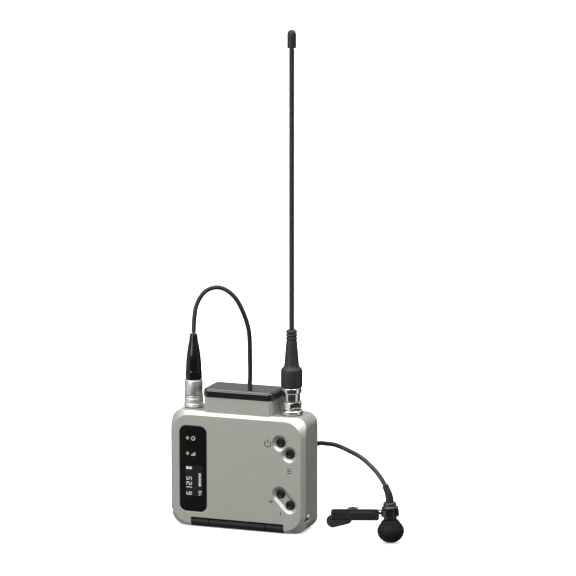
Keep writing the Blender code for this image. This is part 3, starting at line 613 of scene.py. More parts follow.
def add_camera():
    data = bpy.data.cameras.new("camera")
    data.lens, data.sensor_width = LENS, SENSOR
    data.clip_start, data.clip_end = 0.05, 20.0
    camera = bpy.data.objects.new("camera", data)
    camera.location = Vector(CAMERA_AT) * MM
    camera.rotation_euler = (math.radians(90 - CAMERA_PITCH), 0, math.radians(CAMERA_AZIMUTH))
    bpy.context.scene.collection.objects.link(camera)
    bpy.context.scene.camera = camera


def add_light(name, at, aim, size, power, size_y=None):
    data = bpy.data.lights.new(name, "AREA")
    data.shape, data.size, data.size_y = "RECTANGLE", size, size_y or size
    data.energy = power
    lamp = bpy.data.objects.new(name, data)
    lamp.location = at
    lamp.rotation_euler = (Vector(aim) - Vector(at)).to_track_quat("-Z", "Y").to_euler()
    bpy.context.scene.collection.objects.link(lamp)


def add_studio():
    """A white room: an even floor, a bright ceiling and a soft light from the front."""
    add_world()
    add_sun("ceiling_light", (-0.3, -0.35, 1.0), 50, 1.7)
    add_light("front_softbox", (-0.4, -1.2, 0.5), (0, 0, 0.06), 0.6, 9.2, 0.8)
    floor = to_object(block((-FLOOR, -FLOOR, -4), (FLOOR, FLOOR, 0)), "studio_floor")
    floor.data.materials.append(LOOK["floor"])
    floor.location.z = -0.0002
    floor.visible_glossy = False
    floor.visible_diffuse = False
    bpy.context.scene.view_settings.view_transform = "Standard"


def add_sun(name, towards, spread, power):
    data = bpy.data.lights.new(name, "SUN")
    data.angle, data.energy = math.radians(spread), power
    sun = bpy.data.objects.new(name, data)
    sun.rotation_euler = Vector(towards).to_track_quat("Z", "Y").to_euler()
    bpy.context.scene.collection.objects.link(sun)


def add_world():
    """A room bright overhead. Low down it has strip lights between dark walls, for the metal."""
    world = bpy.data.worlds.new("studio")
    bpy.context.scene.world = world
    world.use_nodes = True
    nodes, links = world.node_tree.nodes, world.node_tree.links
    way = nodes.new("ShaderNodeTexCoord").outputs["Generated"]

    def ramp(source, stops):
        made = nodes.new("ShaderNodeValToRGB")
        made.color_ramp.interpolation = "EASE"
        items = made.color_ramp.elements
        while len(items) < len(stops):
            items.new(0.5)
        for item, (at, value) in zip(items, stops):
            item.position, item.color = at, (value, value, value, 1.0)
        links.new(source, made.inputs["Fac"])
        return made.outputs["Color"]

    height = nodes.new("ShaderNodeSeparateXYZ")
    links.new(way, height.inputs["Vector"])
    above = nodes.new("ShaderNodeMapRange")
    above.inputs["From Min"].default_value = -1.0
    links.new(height.outputs["Z"], above.inputs["Value"])
    around = nodes.new("ShaderNodeTexGradient")
    around.gradient_type = "RADIAL"
    links.new(way, around.inputs["Vector"])
    mix = nodes.new("ShaderNodeMix")
    mix.data_type = "RGBA"
    links.new(ramp(above.outputs["Result"], ((0.49, 0.0), (0.56, 1.0))), mix.inputs["Factor"])
    links.new(ramp(around.outputs["Fac"], STRIPS), mix.inputs["A"])
    links.new(ramp(above.outputs["Result"], CEILING), mix.inputs["B"])
    facing = nodes.new("ShaderNodeVectorMath")
    facing.operation = "DOT_PRODUCT"
    facing.inputs[1].default_value = LAMP_TOWARDS
    links.new(way, facing.inputs[0])
    glow = nodes.new("ShaderNodeMapRange")
    glow.inputs["From Min"].default_value = math.cos(math.radians(22))
    glow.inputs["From Max"].default_value = math.cos(math.radians(12))
    glow.inputs["To Max"].default_value = LAMP_GLOW
    links.new(facing.outputs["Value"], glow.inputs["Value"])
    whole = nodes.new("ShaderNodeMix")
    whole.data_type, whole.blend_type = "RGBA", "ADD"
    whole.inputs["Factor"].default_value = 1.0
    links.new(mix.outputs["Result"], whole.inputs["A"])
    links.new(glow.outputs["Result"], whole.inputs["B"])
    links.new(whole.outputs["Result"], nodes["Background"].inputs["Color"])


# ---------------------------------------------------------------- the lead


def coil_points():
    """The stored turns: rows of turns that lie in each other's hollows, wound outwards and up."""
    pitch, rise = 2 * CORD_R + 0.03, 1.84
    across = [(k - 1.5) * pitch for k in range(4)]
    hollows = [(k - 1) * pitch for k in range(3)]
    layers = [(across[::-1], 0), (hollows, 1), (across[::-1], 2), ([0.0], 3)]
    places = [(COIL_MEAN_R + r, CORD_R + 0.04 + rise * level) for row, level in layers for r in row]
    per_turn = 30
    start = -99.5
    out = []
    total = len(places) * per_turn
    for i in range(total):
        turn, part = divmod(i, per_turn)
        part /= per_turn
        r, z = places[turn]
        if turn + 1 < len(places):
            blend = min(1.0, max(0.0, (part - 0.7) / 0.3))
            blend = blend * blend * (3 - 2 * blend)
            nr, nz = places[turn + 1]
            lift = 0.5 * math.sin(math.pi * blend) if abs(nr - r) > 3 else 0.0
            r, z = r + (nr - r) * blend, z + (nz - z) * blend + lift
        if turn == 0:
            settle_in = max(0.0, 1 - part / 0.22)
            r += 1.3 * settle_in * settle_in
        if turn == len(places) - 1 and part > 0.75:
            z += 0.6 * (part - 0.75) / 0.25
        angle = start + 360.0 * i / per_turn + 14.5 * i / total
        away = (angle - TIE_ANGLE + 180) % 360 - 180
        z += 0.6 * math.exp(-((away / 24) ** 2))
        turn_at = math.radians(angle)
        out.append((COIL_AT[0] + r * math.cos(turn_at), COIL_AT[1] + r * math.sin(turn_at), z))
    return out


def lead():
    coil = [Vector(p) for p in coil_points()]
    points = smooth_route(LEAD_IN, 1.6)[:-1] + coil + smooth_route(LEAD_OUT, 1.6)[1:]
    cord = settle(tube("mic_lead", points, CORD_R), "jacket", "housing",
                  ("cord_lead_in", "cord_lead_out", "cord_coil"))
    cord_company()


def cord_company():
    """The pieces that the lead carries: its tie, and the microphone with its clip."""
    return [coil_tie(), mic_relief(), mic_body(), mic_capsule(), windscreen(), *tie_clip()]


def coil_tie():
    """A flat strap round the stored turns, its tail lapped over the top."""
    low_z, high_z, inner, outer = 0.06, 8.3, 7.3, 16.7
    corner, thick, half = 1.5, 0.42, 1.8
    outline = []
    for cx, cz, a0 in ((outer - corner, high_z - corner, 0), (inner + corner, high_z - corner, 90),
                       (inner + corner, low_z + corner, 180), (outer - corner, low_z + corner, 270)):
        for k in range(7):
            turn = math.radians(a0 + 15 * k)
            outline.append((cx, cz, math.cos(turn), math.sin(turn)))
    shape = bmesh.new()
    rings = []
    for cx, cz, dx, dz in outline:
        ring = []
        for r, x in ((corner, -half), (corner, half), (corner - thick, half), (corner - thick, -half)):
            ring.append(shape.verts.new((COIL_AT[0] + x, COIL_AT[1] + cx + r * dx, cz + r * dz)))
        rings.append(ring)
    for a, b in zip(rings, rings[1:] + rings[:1]):
        for k in range(4):
            shape.faces.new((a[k], a[(k + 1) % 4], b[(k + 1) % 4], b[k]))
    tail = block((COIL_AT[0] - half, COIL_AT[1] + 8.4, high_z + 0.03),
                 (COIL_AT[0] + half, COIL_AT[1] + 14.2, high_z + 0.4), 2, 1.2, 5, 0.08)
    tie = joined("coil_strap", [shape, tail])
    return settle(tie, "satin", "housing", ("cord_tie",))


# ---------------------------------------------------------------- housing


def outline(y, inset, radius, steps=14):
    """The housing's outline at one depth, as a ring of points."""
    ring = []
    for cx, cz, start in ((1, 1, 0), (-1, 1, 90), (-1, -1, 180), (1, -1, 270)):
        x = cx * (HALF_W - inset - radius)
        z = HEIGHT / 2 + cz * (HEIGHT / 2 - inset - radius)
        for k in range(steps + 1):
            turn = math.radians(start + 90 * k / steps)
            ring.append((x + radius * math.cos(turn), y, z + radius * math.sin(turn)))
    return ring


def outer_form(name, y0, y1, front, rear):
    """The housing's form between two depths.

    Its front chamfer keeps its slope and so widens at the corners.
    """
    rings = [outline(y0, 0.0, CORNER_R)]
    for k in range(9 if rear else 1):
        turn = math.radians(90 * k / 8)
        inset = REAR_ROUND * (1 - math.cos(turn))
        y = y1 - REAR_ROUND * (1 - math.sin(turn)) if rear else y1
        rings.append(outline(y, inset, CORNER_R - inset))
    form = loft(name, rings)
    if front:
        reach = 7.0  # how much further in the slope runs than the chamfer shows
        slope = [outline(y0, FRONT_CHAMFER, FACE_CORNER_R),
                 outline(y0 + reach, FRONT_CHAMFER - reach, FACE_CORNER_R + reach),
                 outline(y1 + 1, FRONT_CHAMFER - reach, FACE_CORNER_R + reach)]
        carve(form, [loft("slope", slope)], "INTERSECT")
    return form


def loft(name, rings):
    """A closed form through rings that have the same number of points."""
    shape = bmesh.new()
    rows = [[shape.verts.new(point) for point in ring] for ring in rings]
    for a, b in zip(rows, rows[1:]):
        for k, last in enumerate(a):
            n = (k + 1) % len(a)
            shape.faces.new((last, a[n], b[n], b[k]))
    shape.faces.new(rows[0])
    shape.faces.new(rows[-1][::-1])
    return to_object(shape, name)


def inner_form(y0, y1):
    low = (-HALF_W + WALL, y0, WALL)
    high = (HALF_W - WALL, y1, HEIGHT - WALL)
    return to_object(block(low, high, 1, CORNER_R - WALL, 12), "inner")


def box_tool(low, high, axis=None, radius=0.0, steps=6):
    return to_object(block(low, high, axis, radius, steps), "tool")


def front_case():
    case = outer_form("case_shell", FRONT, SEAM_Y - SEAM_GAP, True, False)
    cap_low, cap_high = span("link_cap")
    block_top = cap_low.z - SEAM_GAP
    bx, by = cap_high.x - CAP_LIP, cap_high.y - CAP_LIP
    riser = block((-bx, -by, 49.0), (bx, by, block_top), 2, 1.7, 8)
    ease_face(riser, 2, block_top, 0.25, 2)
    carve(case, [to_object(riser, "riser")], "UNION")
    cuts = [
        box_tool((-40, SEAM_Y - SEAM_GAP, -5), (40, 20, HEIGHT + 0.3)),
        inner_form(FRONT + 2.0, 20),
        box_tool((-bx + WALL, -by + WALL, 45), (bx - WALL, by - WALL, block_top + 5)),
    ]
    cuts += face_cuts() + bottom_cuts() + connector_cuts() + side_notches()
    carve(case, cuts)
    posts = [bar("post", 2.2, FRONT + 1.0, SEAM_Y - 0.3, (x, 0, z), "Y", 24) for x, z in SCREW_PLACES]
    carve(case, posts, "UNION")
    soften(case, 0.14)
    return settle(case, "paint", "housing", ("front_case",))


def face_cuts():
    low, high = span("display_window")
    floor = FRONT + 1.0
    gap = 0.12
    cuts = [box_tool((low.x - gap, FRONT - 5, low.z - gap), (high.x + gap, floor, high.z + gap), 1, 3.4, 12)]
    for name in BUTTON_NAMES:
        at = centre(name)
        cuts.append(bar("hole", 2.15, FRONT - 1, FRONT + 4, (at.x, 0, at.z), "Y"))
    for names in (("power_button",), ("set_button",), ("plus_button", "minus_button")):
        circles = []
        for name in names:
            at = centre(name)
            for k in range(6):
                part = k / 5
                radius = DISH_FLOOR_R + (DISH_R - DISH_FLOOR_R) * part ** 1.5
                circles.append((at.x, FRONT + DISH_DEPTH * (1 - part), at.z, radius))
            circles.append((at.x, FRONT - 1.0, at.z, DISH_R + 1.2))
        cuts.append(hull_of_circles("dish", circles))
    return cuts


def bottom_cuts():
    low, high = span("hinge_knuckle_left")
    edge = -low.x + SEAM_GAP
    return [
        box_tool((-edge, FRONT - 5, -5), (edge, -4.5, high.z + 0.25)),
        box_tool((-edge, -7.3, -5), (edge, 20, 2.3)),
    ]


def connector_cuts():
    return [bar("hole", 3.6, 40, 60, (centre("mic_socket").x, 0, 0), "Z"),
            bar("hole", 3.3, 40, 60, (centre("antenna_jack").x, 0, 0), "Z")]


def side_notches():
    """A scoop with a small plated stud low on each side, where a wire clip springs in."""
    cuts = []
    for side in (-1, 1):
        outside, floor, shallow = side * (HALF_W + 2), side * (HALF_W - 1.35), side * (HALF_W - 0.1)
        corners = ((outside, -12.6, 6.0), (outside, -0.5, 11.6), (outside, 0.3, 6.0),
                   (floor, -7.2, 6.0), (floor, -0.2, 6.0), (shallow, -0.7, 10.4))
        cuts.append(hull_of_circles("notch", [(*corner, 0.25) for corner in corners], 16))
        x, y, z = side * HALF_W, *NOTCH_HOLE
        cuts.append(bar("hole", 0.9, -4, 4, (x, y, z), "X", 24))
        dome = [(r, side * (HALF_W - 0.25 - h)) for r, h in
                ((0, 0), (0.35, 0.05), (0.62, 0.2), (0.8, 0.45), (0.85, 0.75), (0.85, 2.0), (0, 2.0))]
        stud = lathe(f"notch_stud_{'left' if side < 0 else 'right'}", dome, (0, y, z), "X", 32, 0)
        # the stud's near-white, mostly diffuse colour is a painted highlight
        settle(stud, "stud", "housing")
    return cuts


def rear_cover():
    cover = outer_form("cover_shell", SEAM_Y, REAR, False, True)
    edge = -span("hinge_knuckle_left")[0].x + SEAM_GAP
    latch_low, latch_high = span("door_latch")
    step = ((0, 20), (1.85, 20), (1.85, REAR - 0.9), (1.1, REAR - 0.9), (1.1, 0), (0, 0))
    cuts = [
        inner_form(SEAM_Y - 5, REAR - WALL),
        box_tool((-edge, SEAM_Y - 5, -5), (edge, span("battery_door")[1].y + 0.3, 2.3)),
        box_tool((latch_low.x - 0.3, 7.0, -5), (latch_high.x + 0.3, 8.8, 1.6)),
    ]
    cuts += [lathe("sink", step, (x, 0, z), "Y", 40, 0) for x, z in SCREW_PLACES]
    carve(cover, cuts)
    soften(cover, 0.14)
    return settle(cover, "paint", "housing", ("rear_cover",))


def cover_screws():
    """Countersunk cross-recess screws in the rear cover."""
    for i, (x, z) in enumerate(SCREW_PLACES):
        top = REAR - 0.1
        profile = ((0, top), (1.25, top), (1.6, top - 0.18), (1.6, top - 0.5), (0.8, top - 0.62), (0.8, -3.6),
                   (0, -4.2))
        screw = lathe(f"screw_{i + 1}", profile, (x, 0, z), "Y", 48, 0.08)
        cross = []
        for a, b in ((1.0, 0.18), (0.18, 1.0)):
            cutter = block((x - a, top - 0.4, z - b), (x + a, top + 1, z + b), 1, 0.15, 3)
            cross.append(to_object(turn_shape(cutter, 20 + 37 * i, "Y", (x, 0, z)), "cross"))
        carve(screw, cross)
        soften(screw, 0.04)
        settle(screw, "steel", "housing", (f"cover_screw_{i + 1}",))


def top_cap():
    low, high = span("link_cap")
    shape = block(low, high, 2, 2.6, 14)
    ease_face(shape, 2, high.z, 1.5, 8)
    ease_face(shape, 2, low.z, 0.4, 3)
    cap = to_object(shape, "cap_shell")
    wall = 1.1
    hollow = box_tool((low.x + wall, low.y + wall, 50),
                      (high.x - wall, high.y - wall, high.z - wall), 2, 1.4, 5)
    carve(cap, [hollow])
    soften(cap, 0.05, 60)
    return settle(cap, "gloss", "housing", ("link_cap",))


# ---------------------------------------------------------------- face pieces


def display_window():
    low, high = span("display_window")
    shape = block(low, high, 1, 3.3, 14)
    ease_face(shape, 1, low.y, 0.18, 3)
    window = settle(soften(to_object(shape, "window_glass"), 0), "glass", "housing",
                    ("display_window",))
    inlays(low.y - 0.012)
    return window


def flat_tile(x0, x1, z0, z1, y, radius=0.12, thick=0.02):
    reach = min(radius, (x1 - x0) * 0.45, (z1 - z0) * 0.45)
    return block((x0, y, z0), (x1, y + thick, z1), 1, reach, 3)


def inlays(y):
    """Lamp lenses, display cells and small printed signs, flush in the window's face."""
    for name in ("power_lamp", "audio_lamp"):
        at = centre(name)
        lens = lathe(name + "_lens", ((0, 0.1), (0.68, 0.1), (0.76, 0.0), (0.62, -0.02), (0, -0.05)),
                     (at.x, y, at.z), "Y", 40, 0.04)
        settle(lens, "lamp", "housing")
        ring_marks(name, at, y)
    display_cells(y)


def ring_marks(name, at, y):
    """A small sign beside a lamp: an open ring with a stroke, or rising bars."""
    x = at.x + 2.7
    if name == "power_lamp":
        tiles = [flat_tile(x - 0.14, x + 0.14, at.z + 0.1, at.z + 1.15, y)]
        tiles += arc_tiles(x, at.z, 0.85, 125, 415, y, 0.26)
    else:
        tiles = [flat_tile(x - 1.0 + 0.55 * k, x - 0.68 + 0.55 * k, at.z - 0.9, at.z - 0.4 + 0.42 * k, y)
                 for k in range(4)]
    # the sign takes the display cells' emissive material: a painted glow on a printed mark
    settle(joined(name + "_sign", tiles), "pixels", "housing")


def arc_tiles(x, z, radius, start, end, y, width=0.2):
    """A flat open ring made of short joined strokes."""
    count = 18
    shape = bmesh.new()
    rows = []
    for i in range(count + 1):
        turn = math.radians(start + (end - start) * i / count)
        rows.append([shape.verts.new((x + r * math.cos(turn), depth, z + r * math.sin(turn)))
                     for r, depth in ((radius - width / 2, y), (radius + width / 2, y),
                                      (radius + width / 2, y + 0.02), (radius - width / 2, y + 0.02))])
    for a, b in zip(rows, rows[1:]):
        for k in range(4):
            shape.faces.new((a[k], a[(k + 1) % 4], b[(k + 1) % 4], b[k]))
    shape.faces.new(rows[0])
    shape.faces.new(rows[-1][::-1])
    return [shape]


SEGMENTS = {"0": "abcdef", "1": "bc", "2": "abged", "3": "abgcd", "4": "fgbc", "5": "afgcd", "6": "afgedc",
            "7": "abc", "8": "abcdefg", "9": "abfgcd"}


def digit_tiles(text, x, z, size, y):
    """Seven-segment figures that read upwards: their tops point to -X."""
    wide, tall, stroke = size * 0.55, size, size * 0.13
    places = {
        "a": (tall - stroke, tall, 0, wide), "g": ((tall - stroke) / 2, (tall + stroke) / 2, 0, wide),
        "d": (0, stroke, 0, wide), "f": (tall / 2, tall, 0, stroke),
        "b": (tall / 2, tall, wide - stroke, wide),
        "e": (0, tall / 2, 0, stroke), "c": (0, tall / 2, wide - stroke, wide),
    }
    tiles = []
    for i, figure in enumerate(text):
        base = z + i * wide * 1.6
        for name in SEGMENTS[figure]:
            up0, up1, side0, side1 = places[name]
            tiles.append(flat_tile(x - up1, x - up0, base + side0, base + side1, y, 0.05))
    return tiles


def display_cells(y):
    """A level meter, a battery sign and two rows of plain figures on the display."""
    low, high = span("display_module")
    x0, x1, z0, z1 = low.x + 1.3, high.x - 1.3, low.z + 1.6, high.z - 1.7
    tiles = digit_tiles("6125", x0 + 2.7, z0, 2.6, y) + digit_tiles("48", x1, z0, 1.5, y)
    for k in range(10):
        tiles.append(flat_tile(x1 - 1.4, x1 - 0.3, z0 + 4.2 + 0.62 * k, z0 + 4.6 + 0.62 * k, y, 0.03))
    for depth in (0.0, 1.5):
        tiles.append(flat_tile(x0 + depth, x0 + depth + 1.2, z1 - 1.3, z1 - 0.1, y))
    settle(joined("display_cells", tiles), "pixels", "housing")
    settle(joined("display_area",
                  [flat_tile(low.x + 0.9, high.x - 0.9, low.z + 1.2, high.z - 1.2, y + 0.01)]),
           "screen", "housing")


def face_buttons():
    for name in BUTTON_NAMES:
        low, high = span(name)
        at = centre(name)
        flange, top = FRONT + 2.3, low.y
        profile = ((0, high.y), (2.6, high.y), (2.6, flange), (1.95, flange), (1.95, top + 0.42),
                   (1.8, top + 0.1), (1.45, top), (1.2, top + 0.05), (0.95, top + 0.3), (0.4, top + 0.32),
                   (0, top + 0.25))
        button = lathe(name + "_cap", profile[::-1], (at.x, 0, at.z), "Y", 56, 0.16)
        settle(button, "key", name, (name,))


def printed_marks():
    """Small signs printed beside the buttons: a switch ring, menu lines, a plus and a minus."""
    y = FRONT - 0.012
    power, menu = centre("power_button"), centre("set_button")
    plus, minus = centre("plus_button"), centre("minus_button")
    x, z = power.x - 5.8, power.z - 0.6
    tiles = [flat_tile(x - 0.22, x + 0.22, z + 0.3, z + 2.0, y)] + arc_tiles(x, z, 1.45, 125, 415, y, 0.42)
    tiles += [flat_tile(menu.x - 1.0, menu.x + 1.0, menu.z - 6.9 - 0.9 * k, menu.z - 6.5 - 0.9 * k, y)
              for k in range(3)]
    x, z = plus.x - 4.2, plus.z - 3.6
    tiles += [flat_tile(x - 1.0, x + 1.0, z - 0.2, z + 0.2, y),
              flat_tile(x - 0.2, x + 0.2, z + 0.21, z + 1.0, y),
              flat_tile(x - 0.2, x + 0.2, z - 1.0, z - 0.21, y)]
    x, z = minus.x - 4.2, minus.z - 3.9
    tiles.append(flat_tile(x - 0.2, x + 0.2, z - 0.9, z + 0.9, y))
    settle(joined("button_signs", tiles), "ink", "housing")


# ---------------------------------------------------------------- battery door


def battery_door():
    low, high = span("battery_door")
    hinge_y, hinge_z, radius = low.y + 2.1, 2.1, 2.1
    edge, middle = high.x, span("hinge_knuckle_right")[0].x - 0.3
    top = 2.0
    door = to_object(block((-edge, hinge_y + 2.6, 0), (edge, high.y, top), 2, 0.4, 4), "door_shell")
    web = box_tool((-middle, hinge_y, 0), (middle, hinge_y + 3.4, top))
    carve(door, [web, bar("barrel", radius, -middle, middle, (0, hinge_y, hinge_z), "X", 56)], "UNION")
    latch_low, latch_high = span("door_latch")
    cuts = [
        bar("pin_way", 0.9, -40, 40, (0, hinge_y, hinge_z), "X", 32),
        box_tool((latch_low.x - 0.25, latch_low.y - 1.2, -5), (latch_high.x + 0.25, 20, 1.3)),
    ]
    for side in (-1, 1):
        for k in range(4):
            x = side * (9 + 2.2 * k)
            cuts.append(box_tool((x - 0.35, -2.5, -5), (x + 0.35, 4.5, 0.25), 2, 0.34, 4))
    carve(door, cuts)
    soften(door, 0.12)
    return settle(door, "door", "door", ("battery_door",))


def hinge_knuckles():
    for side in ("left", "right"):
        node = f"hinge_knuckle_{side}"
        low, high = span(node)
        hinge_y = low.y + 2.1
        knuckle = lathe(f"knuckle_{side}", ((0, high.x), (2.1, high.x), (2.1, low.x), (0, low.x)),
                        (0, hinge_y, 2.1), "X", 56, 0.15)
        foot = box_tool((low.x + 0.05, hinge_y, 2.4), (high.x - 0.05, hinge_y + 2.4, 4.2))
        carve(knuckle, [foot], "UNION")
        carve(knuckle, [bar("bore", 0.9, -21, 21, (0, hinge_y, 2.1), "X", 32)])
        soften(knuckle, 0.1)
        settle(knuckle, "door", "housing", (node,))


def door_latch():
    low, high = span("door_latch")
    plate = block((low.x, low.y, 0.3), (high.x, high.y, 1.05), 2, 0.4, 4, 0.08)
    ribs = [block((-2.0, y, 0.05), (2.0, y + 0.4, 0.6), 0, 0.15, 3) for y in (4.5, 5.4, 6.3)]
    settle(joined("latch_slider", [plate] + ribs), "satin", "latch", ("door_latch",))


# ---------------------------------------------------------------- microphone plug


def knurl(count, depth, low, high):
    """A radius change that cuts straight grip lines between two heights."""
    def wave(radius, height, angle):
        if low < height < high and radius > 3:
            return radius - depth * (0.5 + 0.5 * math.cos(count * angle))
        return radius
    return wave


def mic_plug():
    at = (centre("plug_ring").x, 0, 0)
    ring = ((3.75, 58.8), (4.28, 58.75), (4.28, 57.95), (4.05, 57.8), (4.05, 57.6), (4.3, 57.45), (4.3, 56.4),
            (4.3, 55.6), (4.1, 55.4), (4.1, 55.2), (4.5, 55.0), (4.55, 54.2), (4.3, 53.6), (3.75, 53.5))
    made = lathe("coupling_ring", ring, at, "Z", 144, 0.06, knurl(36, 0.07, 55.5, 57.5))
    settle(made, "satin_plating", "plug_ring", ("plug_ring",))
    sleeve = ((0, 65.9), (3.8, 65.9), (4.05, 65.7), (4.05, 59.1), (3.4, 59.1), (3.4, 56.0), (2.2, 56.0),
              (2.2, 51.0), (0, 51.0))
    made = lathe("plug_barrel", sleeve, at, "Z", 72, 0.14)
    settle(made, "satin_plating", "housing", ("plug_sleeve",))
    boot = [(0, 86.8), (1.55, 86.8), (1.75, 86.3), (2.0, 84.0)]
    steps = 9
    for k in range(steps + 1):
        part = k / steps
        boot.append((2.1 + 1.45 * math.sin(part * math.pi / 2) ** 0.9, 83.2 - 13.0 * part))
    boot += [(3.68, 69.6), (3.72, 68.4), (3.72, 66.3), (3.5, 66.2), (0, 66.2)]
    made = lathe("plug_strain_boot", boot, at, "Z", 64, 0.12)
    settle(made, "glass", "housing", ("plug_boot",))


def mic_socket():
    at = (centre("mic_socket").x, 0, 0)
    profile = [(2.6, 55.6), (3.35, 55.6)]
    for k in range(5):
        z = 55.3 - 0.42 * k
        profile += [(3.38, z), (3.2, z - 0.2)]
    profile += [(3.35, 53.2), (3.35, 46.2), (2.6, 46.2)]
    settle(lathe("socket_shell", profile, at, "Z", 56, 0.03), "plating", "housing",
           ("mic_socket",))


# ---------------------------------------------------------------- antenna


def antenna():
    at = (centre("antenna_jack").x, 0, 0)
    jack = [(0, 59.0), (2.75, 59.0), (2.9, 58.7)]
    for k in range(6):
        z = 58.4 - 0.5 * k
        jack += [(2.9, z), (2.68, z - 0.25)]
    jack += [(2.9, 55.3), (4.7, 55.3), (5.15, 54.9), (5.15, 53.7), (4.9, 53.5), (2.9, 53.5),
             (2.9, 46.5), (0, 46.5)]
    settle(lathe("jack_flange", jack, at, "Z", 80, 0.1), "plating", "housing",
           ("antenna_jack",))
    coupling_nut(at)
    collar = ((0, 65.5), (4.3, 65.5), (4.5, 65.2), (4.5, 63.3), (4.3, 63.0), (3.85, 62.9),
              (3.85, 59.5), (0, 59.5))
    made = lathe("antenna_ferrule", collar, at, "Z", 80, 0.08)
    settle(made, "plating", "housing", ("antenna_collar",))
    boot = [(0, 91.7), (1.9, 91.7), (2.2, 91.4)]
    for z in (90.2, 88.7, 87.2):
        boot += [(2.2, z + 1.05), (2.5, z + 0.9), (2.5, z + 0.15), (2.2, z)]
    boot += [(2.3, 86.8), (2.45, 86.2), (3.3, 76.0), (3.55, 75.0), (4.6, 73.9), (4.85, 73.2), (4.85, 66.1),
             (4.65, 65.8), (0, 65.8)]
    settle(lathe("antenna_base_boot", boot, at, "Z", 72, 0.22), "rubber", "housing",
           ("antenna_boot",))
    low, high = span("antenna_whip")
    whip_radius = 1.14
    whip = [(0, high.z), (whip_radius, high.z)]
    whip += [(whip_radius, high.z - (high.z - low.z) * (k + 1) / 12) for k in range(11)]
    whip += [(whip_radius, low.z), (0, low.z)]
    settle(lathe("antenna_rod", whip, at, "Z", 40, 0), "rubber", "housing", ("antenna_whip",))
    top = span("antenna_tip")[1].z
    cap = [(0, top), (0.7, top - 0.06), (1.25, top - 0.35), (1.65, top - 0.85),
           (1.9, top - 1.5), (1.98, top - 2.2),
           (1.98, top - 7.9), (1.85, top - 8.1), (0, top - 8.1)]
    settle(lathe("antenna_end_cap", cap, at, "Z", 56, 0.2), "rubber", "housing",
           ("antenna_tip",))


def coupling_nut(at):
    """A hexagon nut with turned chamfers and a plain collar under its flats."""
    across, z0, z1 = 8.5, 55.65, 59.15
    shape = bmesh.new()
    bmesh.ops.create_cone(shape, cap_ends=True, segments=6, radius1=across / math.sqrt(3),
                          radius2=across / math.sqrt(3), depth=z1 - z0)
    turn_shape(shape, 12, "Z", (0, 0, 0))
    bmesh.ops.translate(shape, verts=shape.verts, vec=(at[0], 0, (z0 + z1) / 2))
    nut = to_object(shape, "coupling_nut")
    ease = ((0, z1 + 0.2), (4.1, z1 + 0.2), (4.95, z1 - 0.45), (4.95, z0 + 0.45),
            (4.1, z0 - 0.2), (0, z0 - 0.2))
    carve(nut, [lathe("ease", ease, at, "Z", 72, 0)], "INTERSECT")
    groove = ((4.2, z0 + 1.15), (6, z0 + 1.15), (6, z0 + 0.8), (4.2, z0 + 0.8))
    carve(nut, [bar("bore", 3.2, 50, 65, at, "Z"), lathe("groove", groove, at, "Z", 64, 0)])
    soften(nut, 0.08)
    settle(nut, "plating", "antenna_nut", ("antenna_nut",))


# ---------------------------------------------------------------- microphone and clip


def mic_axis():
    at = centre("windscreen")
    return Vector((at.x, at.y, 0))


def lean(piece, turn=0.0):
    """Swing a piece round the microphone, lean it with the microphone, and lower the ball to the floor."""
    at = mic_axis()
    up, down = Vector((at.x, at.y, BALL_LOW)) * MM, Vector((-at.x, -at.y, -BALL_R)) * MM
    swing = Matrix.Rotation(math.radians(-MIC_LEAN), 4, "Y") @ Matrix.Rotation(math.radians(turn), 4, "Z")
    piece.data.transform(Matrix.Translation(up) @ swing @ Matrix.Translation(down))
    return piece


def mic_body():
    profile = ((0, 19.0), (2.3, 19.0), (2.7, 18.8), (2.95, 18.3), (2.95, 17.3), (3.3, 17.0), (3.75, 16.75),
               (3.75, 16.2), (3.3, 15.95), (2.95, 15.8), (2.95, 11.5), (2.5, 11.3), (2.5, 5.6), (0, 5.6))
    made = lean(lathe("mic_housing", profile, mic_axis(), "Z", 72, 0.12))
    return settle(made, "lacquer", "housing", ("mic_body",))


def mic_capsule():
    profile = ((0, 5.25), (2.4, 5.25), (2.4, 3.1), (2.1, 3.0), (1.9, 3.15), (0, 3.15))
    made = lean(lathe("mic_element", profile, mic_axis(), "Z", 48, 0.06))
    return settle(made, "steel", "housing", ("mic_capsule",))


def mic_relief():
    """The strain relief: it starts along the microphone and ends over the lead."""
    tilt = Matrix.Rotation(math.radians(-MIC_LEAN), 3, "Y")
    top = mic_axis() + Vector((0, 0, BALL_LOW)) + tilt @ Vector((0, 0, 19.25 - BALL_R))
    end = Vector(LEAD_OUT[-1]) + (Vector(LEAD_OUT[-2]) - Vector(LEAD_OUT[-1])).normalized() * 0.5
    route = [top, top + tilt @ Vector((0, 0, 1.2)), top + Vector((-0.35, 0, 2.6)),
             top + Vector((-0.85, 0.02, 4.2)), end]
    points = smooth_route(route, 0.35)
    count = len(points) - 1
    radii = []
    for i in range(count + 1):
        part = i / count
        lip = 0.05 if part > 0.9 else 0.0
        radii.append(1.0 - 0.24 * part + lip)
    made = tube("mic_strain_relief", points, 1.85, radii, 8)
    return settle(made, "jacket", "housing", ("mic_relief",))


def windscreen():
    """A ball of open mesh, wider below its middle, with a seam round its shoulder."""
    rings = []
    count = 72
    for i in range(count + 1):
        turn = math.radians(147.5 - 147.5 * i / count)
        tall = BALL_LOW if turn < math.pi / 2 else BALL_R
        r, z = BALL_R * math.sin(turn), BALL_R - tall * math.cos(turn)
        step = 0.3 / (1 + math.exp(-(z - 7.4) / 0.1))
        groove = 0.5 * math.exp(-(((z - 9.4) / 0.35) ** 2))
        rings.append((max(0.0, r - (step + groove) * r / BALL_R), z))
    profile = [(0, 2.5), (2.8, 2.5), (2.8, rings[0][1])] + rings[:-1] + [(0, BALL_R - BALL_LOW)]
    made = lean(lathe("windscreen_ball", profile, mic_axis(), "Z", 96, 0, dimple))
    return settle(made, "foam", "housing", ("windscreen",))


